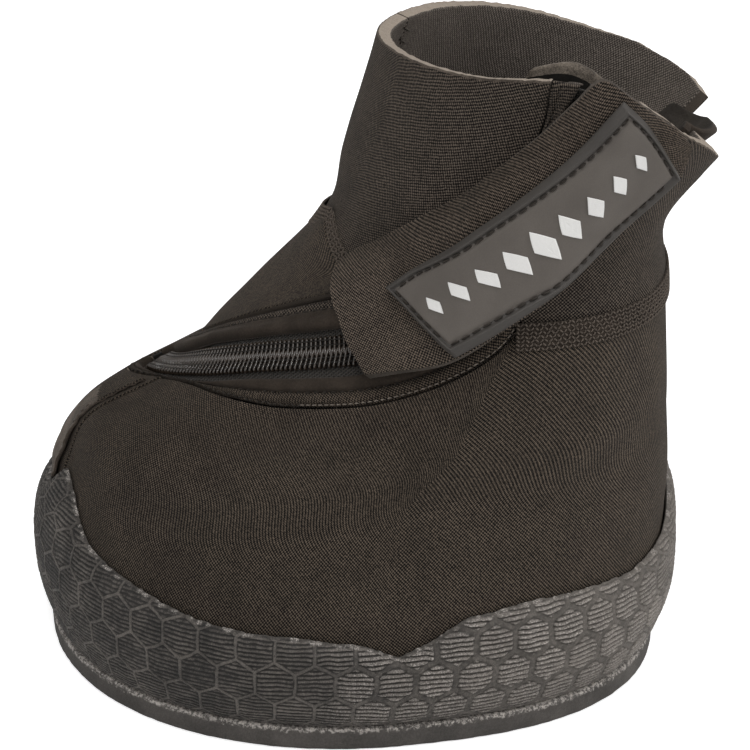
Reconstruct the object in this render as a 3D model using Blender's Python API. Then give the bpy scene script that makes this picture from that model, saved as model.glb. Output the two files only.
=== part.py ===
"""Horse hoof boot: a zipped neoprene boot on a rubber outsole, at its real size, in metres.

The boot stands on z = 0 with its toe towards -Y, and the side with the zip and the strap faces +X.
Every piece follows one form, a stack of closed sections over the sole. A place on the form is an
angle round the boot, 0 at the toe, positive on the zip side and a half turn at the heel, and a
height above the ground. A depth is measured square to the form, positive outwards.
"""

from math import atan2, ceil, pi, radians

import bmesh
import bpy
import numpy as np
from mathutils import Matrix, Vector

# Overall sizes of the upper
SOLE_LENGTH = 0.147
SOLE_WIDTH = 0.138
COLLAR_HEIGHT = 0.152

# Sections: height, toe reach, heel reach, half width, toe fullness, heel fullness.
# Heights are shares of COLLAR_HEIGHT, reaches of half SOLE_LENGTH, widths of half SOLE_WIDTH.
FORM_SHARES = (
    (0.000, 1.000, 1.000, 1.000, 0.010, 0.083),
    (0.053, 0.986, 0.986, 0.986, 0.010, 0.083),
    (0.132, 1.007, 1.034, 1.007, 0.008, 0.072),
    (0.224, 1.014, 1.054, 1.000, 0.000, 0.066),
    (0.316, 0.934, 1.061, 0.964, -0.004, 0.060),
    (0.395, 0.846, 1.054, 0.928, -0.123, 0.060),
    (0.461, 0.568, 1.052, 0.896, -0.145, 0.053),
    (0.513, 0.445, 1.048, 0.862, -0.115, 0.050),
    (0.566, 0.320, 1.044, 0.826, -0.114, 0.046),
    (0.625, 0.181, 1.041, 0.787, -0.090, 0.040),
    (0.704, 0.056, 1.027, 0.739, -0.060, 0.036),
    (0.789, 0.014, 1.095, 0.704, -0.020, 0.032),
    (0.888, -0.048, 1.272, 0.686, 0.000, 0.030),
    (1.026, -0.136, 1.422, 0.681, 0.000, 0.030),
)

# Edges and routes on the form: angle in degrees, height as a share of COLLAR_HEIGHT
RIM_SHARES = (
    (-180, 0.822),
    (-160, 0.847),
    (-140, 0.868),
    (-120, 0.888),
    (-90, 0.934),
    (-60, 0.961),
    (-30, 0.974),
    (0, 0.990),
    (45, 1.000),
    (78, 1.003),
    (92, 0.980),
    (122, 0.895),
    (150, 0.842),
    (180, 0.822),
)
SEAM_SHARES = (
    (0, 0.697),
    (17, 0.668),
    (40, 0.645),
    (80, 0.632),
    (130, 0.625),
    (180, 0.622),
)
ZIP_ROUTE_SHARES = (
    (-22.2, 0.4225),
    (-9.0, 0.4500),
    (4.8, 0.4888),
    (19.0, 0.5277),
    (32.4, 0.5545),
    (45.3, 0.5792),
    (56.2, 0.6104),
    (64.8, 0.6548),
    (70.5, 0.7150),
    (75.0, 0.7850),
    (79.0, 0.8650),
    (82.3, 0.9400),
    (84.6, 0.9990),
)
SIDE_FACING_EDGE_SHARES = (
    (-22.2, 0.4000),
    (-8.0, 0.4300),
    (7.1, 0.4594),
    (20.6, 0.4685),
    (33.8, 0.4748),
    (45.0, 0.4889),
    (56.6, 0.5101),
    (65.6, 0.5328),
    (74.6, 0.5640),
    (81.2, 0.5974),
    (85.2, 0.6320),
    (87.5, 0.6970),
    (90.0, 0.7900),
    (93.4, 0.8800),
    (96.6, 0.9670),
)
FRONT_FACING_EDGE_SHARES = (
    (-22.2, 0.4620),
    (-14.5, 0.4800),
    (-7.1, 0.5053),
    (2.3, 0.5455),
    (13.3, 0.5879),
    (25.3, 0.6256),
    (37.7, 0.6506),
    (49.9, 0.6819),
    (59.5, 0.7350),
    (66.0, 0.8020),
    (70.0, 0.8750),
    (70.8, 0.9430),
    (68.5, 1.0000),
)
# The top edge of the rand, the same on both sides: angle, height share
RAND_TOP_SHARES = (
    (0, 0.285),
    (6.2, 0.292),
    (8.4, 0.324),
    (11, 0.320),
    (18, 0.286),
    (26, 0.252),
    (34, 0.236),
    (43, 0.221),
    (53, 0.205),
    (63, 0.198),
    (72, 0.197),
    (82, 0.187),
    (89, 0.162),
    (95, 0.187),
    (101, 0.216),
    (111, 0.227),
    (122, 0.225),
    (134, 0.218),
    (146, 0.231),
    (156, 0.254),
    (168, 0.285),
    (180, 0.300),
)

# Layers and gaps
NEOPRENE = 0.0035
TOUCH_GAP = 0.0003
SEAM_GAP = 0.0006
FACING_GAP = 0.0009
BOTTOM_STACK = 0.006
PANEL_FOOT = 0.0010

# Outsole: lip, ground edge and tread
LIP_REACH = 0.0012
LIP_ROUND = 0.0009
TREAD_DEPTH = 0.0022
TREAD_GROOVE = 0.0032
TREAD_PITCH = 0.0165
TREAD_BORDER = 0.011
TREAD_RIB_OFFSET = 0.024
CUT_OVERRUN = 0.002
SOLE_COLUMNS = 72

# Rand: depth of its outer face and the share of its height where each depth lies
RAND_BULGE = 0.0043
RAND_PROFILE_SHARES = (
    (0.00, 0.22),
    (0.13, 0.78),
    (0.36, 1.00),
    (0.58, 0.92),
    (0.76, 0.76),
    (0.92, 0.56),
    (1.00, 0.30),
)
RAND_GAP = 0.0006
RAND_COLUMN_STEP = 6.0

# Board and pad under the hoof
BOARD_THICKNESS = 0.0017
PAD_THICKNESS = 0.0045
PAD_CLEARANCE = 0.0005

# Panels: columns round the boot and rows up it
CUP_COLUMNS = 30
CUP_ROWS = 14
INSTEP_ROWS = 4
FACING_ROWS = 4
INSTEP_COLUMNS = 8
INSTEP_TURN = 33.0
ZIP_END_COLUMN = 26
COLLAR_ROWS = 8
FRONT_COLLAR_COLUMNS = 18
FAR_COLLAR_COLUMNS = 22
NEAR_COLLAR_COLUMNS = 16
COLLAR_SEAM_TURN = -38.0

# Heel opening of the collar and the gusset behind it
NOTCH_TOP = 0.0135
NOTCH_FOOT = 0.0010
GUSSET_HALF = 0.0150
GUSSET_FOOT_RISE = 0.004
GUSSET_TOP_RISE = 0.0035
GUSSET_SHOULDER = 0.007
GUSSET_THICKNESS = 0.0022
GUSSET_BULGE = 0.0045
GUSSET_BULGE_MARGIN = 0.0032
GUSSET_COLUMNS = 12
GUSSET_ROWS = 5
# The far side of the heel opening stands out between these turns, as far as the flare at the middle one
HEEL_FLARE = 0.0052
FLARE_TURNS = (180.0, 196.0, 240.0)
FLARE_POWER = 1.5

# Sewn tapes
TAPE_THICKNESS = 0.0008
TOE_TAPE_HALF = 0.0082
TOE_TAPE_ROWS = 10
HEEL_TAPE_HALF = 0.0080
HEEL_TAPE_ROWS = 8
TAPE_END_GAP = 0.0006
BAND_WIDTH = 0.0065
BAND_COLUMNS = 42
SIDE_BAND_COLUMNS = 16
BAND_END = 0.0012
SIDE_BAND_TURN = 85.2

# Zip
ZIP_STEPS = 50
ZIP_TAPE_START = 0.007
CHAIN_HALF = 0.0038
CHAIN_THICKNESS = 0.0021
CHAIN_RIB = 0.0004
CHAIN_STEPS = 60
CHAIN_SPLIT = 0.00015
CHAIN_OPEN = 0.0014
FACING_THICKNESS = 0.0026
FRONT_SLOT = 0.0057
SIDE_SLOT = 0.0066
SLOT_START = 0.0012
SLOT_ROUND = 0.028
SLOT_OPEN_SHARES = ((0.00, 0.00), (0.06, 0.42), (0.13, 0.70), (0.45, 0.82), (1.00, 1.00))
ZIP_TAPE_HALF = 0.0088
TAPE_ROOM_SHARE = 0.65
ZIP_TAPE_THICKNESS = 0.0005
ZIP_TOP_MARGIN = 0.0015
STOP_LENGTH = 0.0030
STOP_RISE = 0.0008
STOP_HALF = 0.0012
CHAIN_START = 0.0045
GUARD_THICKNESS = 0.0018
GUARD_SEWN_EDGE = 0.0125
GUARD_FREE_EDGE = 0.0085
GUARD_DROP = 0.0024
GUARD_START = 0.036
GUARD_STEPS = 30
GUARD_FLARE = 0.026
GUARD_TOP_EDGE = 0.020
GUARD_BOW = 0.0058
# Lateral places across the guard, as shares of its sewn edge (negative) or its free edge, and its drop there
GUARD_ACROSS_SHARES = (-1.00, -0.72, -0.45, 0.30, 0.62, 1.00)
GUARD_DROP_SHARES = (0.00, 0.10, 1.00, 1.00, 1.00, 1.00)
GUARD_BOW_SHARES = (0.00, 0.05, 0.55, 1.00, 0.85, 0.04)
# The guard's upper edge, which stands above the rim in front of the strap
GUARD_TOP_SHARES = (
    (56, 1.000),
    (60, 1.006),
    (65, 1.019),
    (71, 1.024),
    (78, 1.022),
    (84, 1.008),
    (92, 0.986),
    (102, 0.958),
)

# Zip slider and puller
SLIDER_PLACE = 0.0118
SLIDER_TRAVEL = 0.014
SLIDER_LIFT = 0.0007
SLIDER_LENGTH = 0.0120
SLIDER_HALF = 0.0046
SLIDER_PLATE = 0.0009
SLIDER_CLEARANCE = 0.0003
SLIDER_LOWER_CLEARANCE = 0.0008
SLIDER_POST_HALF = 0.0009
SLIDER_POST_LENGTH = 0.0024
BRIDGE_HALF = 0.0009
BRIDGE_LEG = 0.0012
BRIDGE_SPAN = 0.0072
BRIDGE_BAR = 0.0007
PULLER_THICKNESS = 0.0008
PULLER_LENGTH = 0.0138
PULLER_HALF = 0.0026
PULLER_EYE = 0.0017
EYE_SIDES = 20

# Strap, its patches and the badge
STRAP_THICKNESS = 0.0030
PATCH_THICKNESS = 0.0008
STRAP_CLEARANCE = 0.0012
STRAP_RISE_START = 56.0
STRAP_RISE_END = 66.0
STRAP_DROP_START = 87.0
STRAP_DROP_END = 105.0
STRAP_LOWER_SHARES = (
    (57.0, 0.5425),
    (66.0, 0.5620),
    (75.0, 0.5880),
    (83.0, 0.6420),
    (91.0, 0.6850),
    (101.0, 0.7240),
    (109.5, 0.7720),
    (115.5, 0.8250),
    (121.0, 0.8500),
)
STRAP_UPPER_SHARES = (
    (25.7, 0.6843),
    (31.5, 0.7190),
    (40.0, 0.7560),
    (50.0, 0.7935),
    (59.0, 0.8345),
    (66.0, 0.8820),
    (72.5, 0.9300),
    (78.5, 0.9810),
    (84.0, 1.0100),
    (91.5, 0.9905),
    (100.5, 0.9585),
    (109.0, 0.9310),
    (116.8, 0.9010),
)
STRAP_FRONT_SHARES = (
    (57.0, 0.5425),
    (51.0, 0.5585),
    (44.2, 0.5766),
    (37.5, 0.5970),
    (30.8, 0.6175),
    (26.3, 0.6390),
    (24.5, 0.6610),
    (25.7, 0.6843),
)
STRAP_REAR_SHARES = ((121.0, 0.8500), (116.8, 0.9010))
STRAP_AXIS_SHARE = 0.3
STRAP_COLUMNS = 30
STRAP_ROWS = 6
# Corners of the hook and loop patches: lower front, lower rear, upper rear, upper front
PATCH_CORNER_SHARES = ((31, 0.686), (49.5, 0.706), (58, 0.803), (40, 0.745))
PATCH_COLUMNS = 8
PATCH_ROWS = 6
PATCH_GAP = 0.0005
BADGE_LOWER_SHARES = (
    (75.8, 0.5925),
    (82.1, 0.6392),
    (89.0, 0.6798),
    (96.5, 0.7095),
    (104.0, 0.7445),
    (110.0, 0.7840),
    (114.3, 0.8240),
    (117.5, 0.8600),
)
BADGE_UPPER_SHARES = (
    (45.8, 0.6640),
    (54.0, 0.7228),
    (64.4, 0.7727),
    (71.4, 0.8161),
    (76.5, 0.8655),
    (81.4, 0.9223),
    (84.6, 0.9650),
    (87.0, 0.9960),
)
BADGE_FRONT_SHARES = ((75.8, 0.5925), (71.5, 0.6035), (63.6, 0.6250), (55.0, 0.6445), (45.8, 0.6640))
BADGE_REAR_SHARES = ((117.5, 0.8600), (110.0, 0.8900), (102.8, 0.9245), (95.0, 0.9620), (87.0, 0.9960))
BADGE_GAP = 0.0008
BADGE_THICKNESS = 0.0016
BADGE_BORDER_RISE = 0.0008
BADGE_END_SHARES = (0, 0.006, 0.030, 0.042)
BADGE_FIELD_COLUMNS = 14
BADGE_ACROSS_SHARES = (0, 0.020, 0.085, 0.120, 0.310, 0.500, 0.690, 0.880, 0.915, 0.980, 1)
BADGE_BORDER_COUNT = 3

# Colours as linear RGB
NEOPRENE_COLOUR = (0.036, 0.029, 0.024)
STRAP_COLOUR = (0.042, 0.035, 0.030)
TAPE_COLOUR = (0.026, 0.022, 0.020)
RUBBER_COLOUR = (0.060, 0.055, 0.050)
BADGE_COLOUR = (0.105, 0.095, 0.085)
METAL_COLOUR = (0.050, 0.048, 0.046)
COIL_COLOUR = (0.020, 0.019, 0.018)
FOAM_COLOUR = (0.060, 0.056, 0.052)


def column_of(table, index):
    return np.array([row[index] for row in table], float)


def smooth(value, places, levels):
    """Levels along places, joined by a smooth curve."""
    value = np.clip(value, places[0], places[-1])
    left = np.clip(np.searchsorted(places, value, side="right") - 1, 0, len(places) - 2)
    width = places[left + 1] - places[left]
    share = (value - places[left]) / width
    slopes = np.gradient(levels, places)
    square = share * share
    cube = square * share
    start = (2 * cube - 3 * square + 1) * levels[left] + (cube - 2 * square + share) * width * slopes[left]
    end = (3 * square - 2 * cube) * levels[left + 1] + (cube - square) * width * slopes[left + 1]
    return start + end


def section(height):
    """Toe and heel ends, half width and fullness of the form at a height."""
    share = np.asarray(height, float) / COLLAR_HEIGHT
    places = column_of(FORM_SHARES, 0)
    toe = -smooth(share, places, column_of(FORM_SHARES, 1)) * SOLE_LENGTH / 2
    heel = smooth(share, places, column_of(FORM_SHARES, 2)) * SOLE_LENGTH / 2
    half = smooth(share, places, column_of(FORM_SHARES, 3)) * SOLE_WIDTH / 2
    toe_full = smooth(share, places, column_of(FORM_SHARES, 4))
    heel_full = smooth(share, places, column_of(FORM_SHARES, 5))
    return toe, heel, half, toe_full, heel_full


def on_form(angle, height):
    angle, height = np.broadcast_arrays(np.asarray(angle, float), np.asarray(height, float))
    toe, heel, half, toe_full, heel_full = section(height)
    middle = (toe + heel) / 2
    reach = (heel - toe) / 2
    full = 1 + np.where(np.cos(angle) > 0, toe_full, heel_full) * np.sin(2 * angle) ** 2
    across = half * np.sin(angle) * full
    along = middle - reach * np.cos(angle) * full
    return np.stack([across, along, height], -1)


def at_form(line):
    return on_form(line[:, 0], line[:, 1])


def outward(angle, height):
    """The unit vector square to the form."""
    turn = 1e-4
    rise = COLLAR_HEIGHT * turn
    round_boot = on_form(angle + turn, height) - on_form(angle - turn, height)
    up_boot = on_form(angle, height + rise) - on_form(angle, height - rise)
    square = np.cross(round_boot, up_boot)
    return square / np.linalg.norm(square, axis=-1, keepdims=True)


def at_depth(angle, height, depth):
    depth = np.asarray(depth, float)
    return on_form(angle, height) + outward(angle, height) * depth[..., None]


def angle_at(across, height):
    """The angle near the toe line at which the form lies a distance across from it."""
    half = section(height)[2]
    return across / half


def heel_angle_at(across, height):
    return pi - angle_at(across, height)


def places_of(table):
    """A table's angles in radians and heights in metres."""
    return np.radians(column_of(table, 0)), column_of(table, 1) * COLLAR_HEIGHT


def height_on(table, angle):
    angles, heights = places_of(table)
    return smooth(angle, angles, heights)


def rim_height(angle):
    return height_on(RIM_SHARES, angle)


def seam_height(angle):
    return height_on(SEAM_SHARES, np.abs(angle))


def rand_top(angle):
    angles, heights = places_of(RAND_TOP_SHARES)
    return np.interp(np.abs(angle), angles, heights)


def trace(table, count):
    """A smooth line through a table's places, as count rows of angle and height."""
    angles, heights = places_of(table)
    steps = np.arange(len(angles), dtype=float)
    wanted = np.linspace(0, len(angles) - 1, count)
    return np.stack([smooth(wanted, steps, angles), smooth(wanted, steps, heights)], -1)


def line_lengths(line):
    points = on_form(line[:, 0], line[:, 1])
    return np.concatenate([[0], np.cumsum(np.linalg.norm(np.diff(points, axis=0), axis=1))])


def at_shares(line, shares):
    """The places at shares of a line's length on the form."""
    lengths = line_lengths(line)
    wanted = np.asarray(shares, float) * lengths[-1]
    return np.stack([np.interp(wanted, lengths, line[:, 0]), np.interp(wanted, lengths, line[:, 1])], -1)


def even(line, count):
    """A line of angles and heights, cut into equal lengths on the form."""
    return at_shares(line, np.linspace(0, 1, count))


def patch(lower, rear, upper, front, along=None, up=None):
    """A grid between four lines that meet at their ends: rows run from lower to upper.

    The shares along and up are even unless they are given.
    """
    along = np.linspace(0, 1, len(lower)) if along is None else np.asarray(along, float)
    up = np.linspace(0, 1, len(front)) if up is None else np.asarray(up, float)
    along = along[None, :, None]
    up = up[:, None, None]
    ruled = (1 - up) * lower[None] + up * upper[None] + (1 - along) * front[:, None] + along * rear[:, None]
    corners = (1 - up) * ((1 - along) * lower[0] + along * lower[-1])
    corners = corners + up * ((1 - along) * upper[0] + along * upper[-1])
    return ruled - corners


def beside(line, distance):
    """The places a distance to the instep side of a line on the form."""
    points = on_form(line[:, 0], line[:, 1])
    ahead = np.gradient(points, axis=0)
    ahead = ahead / np.linalg.norm(ahead, axis=1, keepdims=True)
    side = np.cross(outward(line[:, 0], line[:, 1]), ahead)
    moved = points + side * np.broadcast_to(distance, len(line))[:, None]
    toe, heel, half, _, _ = section(moved[:, 2])
    middle = (toe + heel) / 2
    reach = (heel - toe) / 2
    angles = np.arctan2(moved[:, 0] / half, (middle - moved[:, 1]) / reach)
    return np.stack([angles, moved[:, 2]], -1)


def ruled_patch(tables, along, up):
    """A grid at shares along and up between the smooth lines of four tables: lower, rear, upper and front."""
    lower, rear, upper, front = (trace(table, 200) for table in tables)
    sides = at_shares(lower, along), at_shares(rear, up), at_shares(upper, along), at_shares(front, up)
    return patch(*sides, along, up)


def ease(value, start, end):
    """A smooth step from 0 at the start to 1 at the end."""
    share = np.clip((value - start) / (end - start), 0, 1)
    return share * share * (3 - 2 * share)


def zip_route(start, end, count):
    """The middle of the zip between two distances from its toe end."""
    line = trace(ZIP_ROUTE_SHARES, 400)
    lengths = line_lengths(line)
    wanted = np.linspace(start, end, count)
    beyond = np.maximum(wanted - lengths[-1], 0)
    angles = np.interp(wanted, lengths, line[:, 0])
    return np.stack([angles, np.interp(wanted, lengths, line[:, 1]) + beyond], -1)


def zip_length():
    return line_lengths(trace(ZIP_ROUTE_SHARES, 400))[-1]


def material(name, colour, roughness, metallic=0.0):
    made = bpy.data.materials.new(name)
    made.use_nodes = True
    shader = made.node_tree.nodes["Principled BSDF"]
    shader.inputs["Base Color"].default_value = (*colour, 1)
    shader.inputs["Roughness"].default_value = roughness
    shader.inputs["Metallic"].default_value = metallic
    made.diffuse_color = (*colour, 1)
    return made


def add_object(name, mesh, surface, collection):
    made = bpy.data.objects.new(name, mesh)
    collection.objects.link(made)
    if surface:
        mesh.materials.append(surface)
    return made


def clear_scene():
    for old in list(bpy.data.objects):
        bpy.data.objects.remove(old)


def mesh_from(name, points, faces, smooth_turn=40):
    """A closed mesh with its faces turned outwards and its soft edges shaded smooth."""
    body = bmesh.new()
    corners = [body.verts.new(point) for point in points]
    for face in faces:
        body.faces.new([corners[index] for index in face])
    bmesh.ops.recalc_face_normals(body, faces=body.faces)
    mesh = bpy.data.meshes.new(name)
    body.to_mesh(mesh)
    body.free()
    mesh.shade_smooth()
    mesh.set_sharp_from_angle(angle=radians(smooth_turn))
    return mesh


def sheet(name, inner, outer, surface, keep=None):
    """A loft between two skins of the same grid, closed round every open edge.

    The panels meet edge to edge, so both skins are taken from the form itself.
    Cells for which keep is false are left out.
    """
    rows, columns = outer.shape[:2]
    count = rows * columns
    if keep is None:
        keep = np.ones((rows - 1, columns - 1), bool)
    faces = []
    edges = {}
    for row, column in zip(*np.nonzero(keep)):
        first = row * columns + column
        cell = (first, first + 1, first + columns + 1, first + columns)
        faces.append(cell)
        faces.append(tuple(count + index for index in reversed(cell)))
        for start, end in zip(cell, cell[1:] + cell[:1]):
            if (end, start) in edges:
                del edges[(end, start)]
            else:
                edges[(start, end)] = True
    for start, end in edges:
        faces.append((start, end, count + end, count + start))
    points = np.concatenate([outer.reshape(-1, 3), inner.reshape(-1, 3)])
    used = sorted({index for face in faces for index in face})
    place = {index: new for new, index in enumerate(used)}
    faces = [tuple(place[index] for index in face) for face in faces]
    return add_object(name, mesh_from(name, points[used], faces), surface, PARTS)


def panel(name, grid, surface, outer=0.0, thickness=NEOPRENE, keep=None):
    """A piece of constant thickness whose outer face lies at a depth on the form."""
    angles, heights = grid[..., 0], grid[..., 1]
    outer_skin = at_depth(angles, heights, np.broadcast_to(outer, angles.shape))
    inner_skin = at_depth(angles, heights, np.broadcast_to(outer - thickness, angles.shape))
    return sheet(name, inner_skin, outer_skin, surface, keep)


def stacked_rings(name, rings, surface):
    """A closed body from rings of the same count, lowest first, with flat ends."""
    count = len(rings[0])
    points = np.concatenate(rings)
    faces = [tuple(range(count)), tuple(range(len(points) - count, len(points)))]
    for level in range(len(rings) - 1):
        for index in range(count):
            after = (index + 1) % count
            low = level * count
            high = low + count
            faces.append((low + index, low + after, high + after, high + index))
    return add_object(name, mesh_from(name, points, faces), surface, PARTS)


def outline_ring(height, form_height, depth):
    """The form's outline at one height, moved sideways by a depth and laid at another height."""
    angles = np.linspace(-pi, pi, SOLE_COLUMNS, endpoint=False)
    points = on_form(angles, np.full(SOLE_COLUMNS, form_height))
    ahead = np.roll(points, -1, axis=0) - np.roll(points, 1, axis=0)
    side = np.stack([ahead[:, 1], -ahead[:, 0]], -1)
    side = side / np.linalg.norm(side, axis=1, keepdims=True)
    ring = points.copy()
    ring[:, :2] += side * depth
    ring[:, 2] = height
    return ring


def cube(name, size, middle, collection, turn=None):
    """A box as a mesh object, its scale already in the mesh."""
    body = bmesh.new()
    bmesh.ops.create_cube(body, size=1.0)
    bmesh.ops.scale(body, vec=size, verts=body.verts)
    bmesh.ops.translate(body, vec=middle, verts=body.verts)
    if turn:
        bmesh.ops.transform(body, matrix=turn, verts=body.verts)
    mesh = bpy.data.meshes.new(name)
    body.to_mesh(mesh)
    body.free()
    return add_object(name, mesh, None, collection)


def helper(made):
    made.hide_render = True
    made.display_type = "WIRE"
    return made


def boolean(target, tool, operation):
    change = target.modifiers.new(tool.name, "BOOLEAN")
    change.operation = operation
    change.object = helper(tool)
    change.solver = "EXACT"


def move_origin(made, point):
    """Puts an object's origin on a point without moving its shape."""
    point = Vector(point)
    made.data.transform(Matrix.Translation(-point))
    made.location = point


def build_outsole(surface):
    rings = [
        outline_ring(0, 0, LIP_REACH - LIP_ROUND),
        outline_ring(LIP_ROUND, 0, LIP_REACH),
        outline_ring(BOTTOM_STACK - LIP_ROUND, 0, LIP_REACH),
        outline_ring(BOTTOM_STACK, 0, LIP_REACH - LIP_ROUND),
    ]
    outsole = stacked_rings("outsole", rings, surface)
    half_width = SOLE_WIDTH / 2
    half_length = SOLE_LENGTH / 2
    height = TREAD_DEPTH + CUT_OVERRUN
    middle = TREAD_DEPTH - height / 2
    count = int((half_length - TREAD_BORDER) / TREAD_PITCH + 0.5)
    for index in range(-count, count):
        place = (index + 0.5) * TREAD_PITCH
        narrowing = (1 - (place / half_length) ** 2) ** 0.5
        reach = half_width * narrowing - TREAD_BORDER
        size = (2 * reach, TREAD_GROOVE, height)
        groove = cube(f"tread_groove_{index + count}", size, (0, place, middle), CUTTERS)
        boolean(outsole, groove, "DIFFERENCE")
    for side in (-1, 1):
        reach = half_length - TREAD_BORDER - TREAD_PITCH / 2
        size = (TREAD_GROOVE, 2 * reach, height)
        place = (side * TREAD_RIB_OFFSET, 0, middle)
        name = "tread_channel_zip_side" if side > 0 else "tread_channel_far_side"
        boolean(outsole, cube(name, size, place, CUTTERS), "DIFFERENCE")


def rand_columns():
    """Angles round the boot that hold every corner of the rand's edge."""
    corners = column_of(RAND_TOP_SHARES, 0)
    half = []
    for start, end in zip(corners, corners[1:]):
        parts = ceil((end - start) / RAND_COLUMN_STEP)
        half.extend(np.linspace(start, end, parts, endpoint=False))
    half.append(corners[-1])
    half = np.radians(half)
    return np.concatenate([-half[:0:-1], half[:-1]])


def build_rand(surface):
    angles = rand_columns()
    foot = BOTTOM_STACK + TOUCH_GAP
    rise = rand_top(angles) - foot
    loops = []
    for up_share, depth_share in RAND_PROFILE_SHARES:
        depth = np.full(len(angles), RAND_GAP + RAND_BULGE * depth_share)
        loops.append(at_depth(angles, foot + rise * up_share, depth))
    for up_share, _ in reversed(RAND_PROFILE_SHARES):
        loops.append(at_depth(angles, foot + rise * up_share, np.full(len(angles), RAND_GAP)))
    count = len(loops)
    columns = len(angles)
    faces = []
    for level in range(count):
        above = (level + 1) % count
        for index in range(columns):
            after = (index + 1) % columns
            faces.append(
                (level * columns + index, level * columns + after, above * columns + after, above * columns + index)
            )
    mesh = mesh_from("rand", np.concatenate(loops), faces)
    add_object("rand", mesh, surface, PARTS)


def build_footbed(board_surface, pad_surface):
    foot = BOTTOM_STACK + TOUCH_GAP
    inset = -(NEOPRENE + PAD_CLEARANCE)
    board_top = foot + BOARD_THICKNESS
    board = [outline_ring(foot, foot, inset), outline_ring(board_top, foot, inset)]
    stacked_rings("lasting_board", board, board_surface)
    pad_foot = board_top + TOUCH_GAP
    pad_top = pad_foot + PAD_THICKNESS
    pad = [
        outline_ring(pad_foot, foot, inset),
        outline_ring(pad_top - PAD_CLEARANCE, foot, inset),
        outline_ring(pad_top, foot, inset - PAD_CLEARANCE),
    ]
    stacked_rings("insole_pad", pad, pad_surface)


def rows_between(lower, upper, rows):
    share = np.linspace(0, 1, rows)[:, None]
    return lower[None] * (1 - share) + upper[None] * share


def facing_edge(table):
    """A facing's outer edge, in the same steps as the zip's route."""
    edge = even(trace(table, 400), ZIP_STEPS + 1)
    edge[-1, 1] = rim_height(edge[-1, 0])
    return edge


def carried_back(edge, angle):
    """An edge whose first piece runs straight on back to an angle."""
    slope = (edge[1, 1] - edge[0, 1]) / (edge[1, 0] - edge[0, 0])
    first = [angle, edge[0, 1] + (angle - edge[0, 0]) * slope]
    return np.concatenate([[first], edge])


def cup_top_near(angle):
    """The upper edge of the zip-side cup: under the zip's facing, then under the seam."""
    edge = beside(facing_edge(SIDE_FACING_EDGE_SHARES), -SEAM_GAP)
    under = np.interp(angle, edge[:, 0], edge[:, 1])
    return np.minimum(under, seam_height(angle) - SEAM_GAP / 2)


def build_cup_near(surface):
    foot = BOTTOM_STACK + PANEL_FOOT
    angles = np.linspace(0, pi, CUP_COLUMNS + 1)
    heights = rows_between(np.full(len(angles), foot), cup_top_near(angles), CUP_ROWS + 1)
    grid_angles = np.broadcast_to(angles, heights.shape).copy()
    grid_angles[:, 0] = angle_at(SEAM_GAP / 2, heights[:, 0])
    grid_angles[:, -1] = heel_angle_at(SEAM_GAP / 2, heights[:, -1])
    panel("cup_near", np.stack([grid_angles, heights], -1), surface)


def build_cup_far(surface):
    """The far cup runs on over the instep to the zip, and a notch in its edge takes the zip's far end."""
    foot = BOTTOM_STACK + PANEL_FOOT
    far = np.linspace(-pi, 0, CUP_COLUMNS + 1)
    near = np.linspace(0, radians(INSTEP_TURN), INSTEP_COLUMNS + 1)[1:]
    angles = np.concatenate([far, near])
    toe = len(far) - 1
    side_edge = carried_back(beside(facing_edge(SIDE_FACING_EDGE_SHARES), -SEAM_GAP), far[ZIP_END_COLUMN])
    front_edge = carried_back(beside(facing_edge(FRONT_FACING_EDGE_SHARES), SEAM_GAP), far[ZIP_END_COLUMN])
    low = np.interp(angles, side_edge[:, 0], side_edge[:, 1])
    high = np.interp(angles, front_edge[:, 0], front_edge[:, 1])
    top = seam_height(angles) - SEAM_GAP / 2
    below = rows_between(np.full(len(angles), foot), low, CUP_ROWS + 1)
    between = rows_between(low, high, FACING_ROWS + 1)[1:]
    above = rows_between(high, top, INSTEP_ROWS + 1)[1:]
    heights = np.concatenate([below, between, above])
    grid_angles = np.broadcast_to(angles, heights.shape).copy()
    grid_angles[:, 0] = -heel_angle_at(SEAM_GAP / 2, heights[:, 0])
    grid_angles[: CUP_ROWS + 1, toe] = -angle_at(SEAM_GAP / 2, heights[: CUP_ROWS + 1, toe])
    keep = np.ones((len(heights) - 1, len(angles) - 1), bool)
    keep[:CUP_ROWS, toe:] = False
    keep[CUP_ROWS : CUP_ROWS + FACING_ROWS, ZIP_END_COLUMN:] = False
    panel("cup_far", np.stack([grid_angles, heights], -1), surface, keep=keep)


def heel_flare(angle, height):
    """How far the far side of the heel opening stands out: most at its edge and at the rim."""
    turn = np.mod(angle, 2 * pi)
    start, full, end = np.radians(FLARE_TURNS)
    round_heel = ease(turn, start, full) * (1 - ease(turn, full, end))
    foot = seam_height(pi)
    rise = np.clip((height - foot) / (rim_height(pi) - foot), 0, 1)
    return HEEL_FLARE * round_heel * rise ** FLARE_POWER


def notch_half(height, foot, top):
    share = np.clip((height - foot) / (top - foot), 0, 1)
    return NOTCH_FOOT + (NOTCH_TOP - NOTCH_FOOT) * share ** 1.6


def heel_edge(side, rows):
    """The collar's edge beside the heel opening, from the seam to the rim."""
    foot = seam_height(pi) + SEAM_GAP / 2
    top = rim_height(pi)
    heights = np.linspace(foot, top, rows)
    angles = heel_angle_at(notch_half(heights, foot, top), heights)
    edge = np.stack([side * angles, heights], -1)
    edge[-1, 1] = rim_height(edge[-1, 0])
    return edge


def seam_top(angle):
    return seam_height(angle) + SEAM_GAP / 2


def between_seam_and_rim(line, count):
    """The part of a rising line that lies above the seam and below the rim, in even steps."""
    fine = even(line, 400)
    above = fine[:, 1] - seam_top(fine[:, 0])
    below = rim_height(fine[:, 0]) - fine[:, 1]
    part = even(fine[(above > 0) & (below > 0)], count)
    part[0, 1] = seam_top(part[0, 0])
    part[-1, 1] = rim_height(part[-1, 0])
    return part


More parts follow.
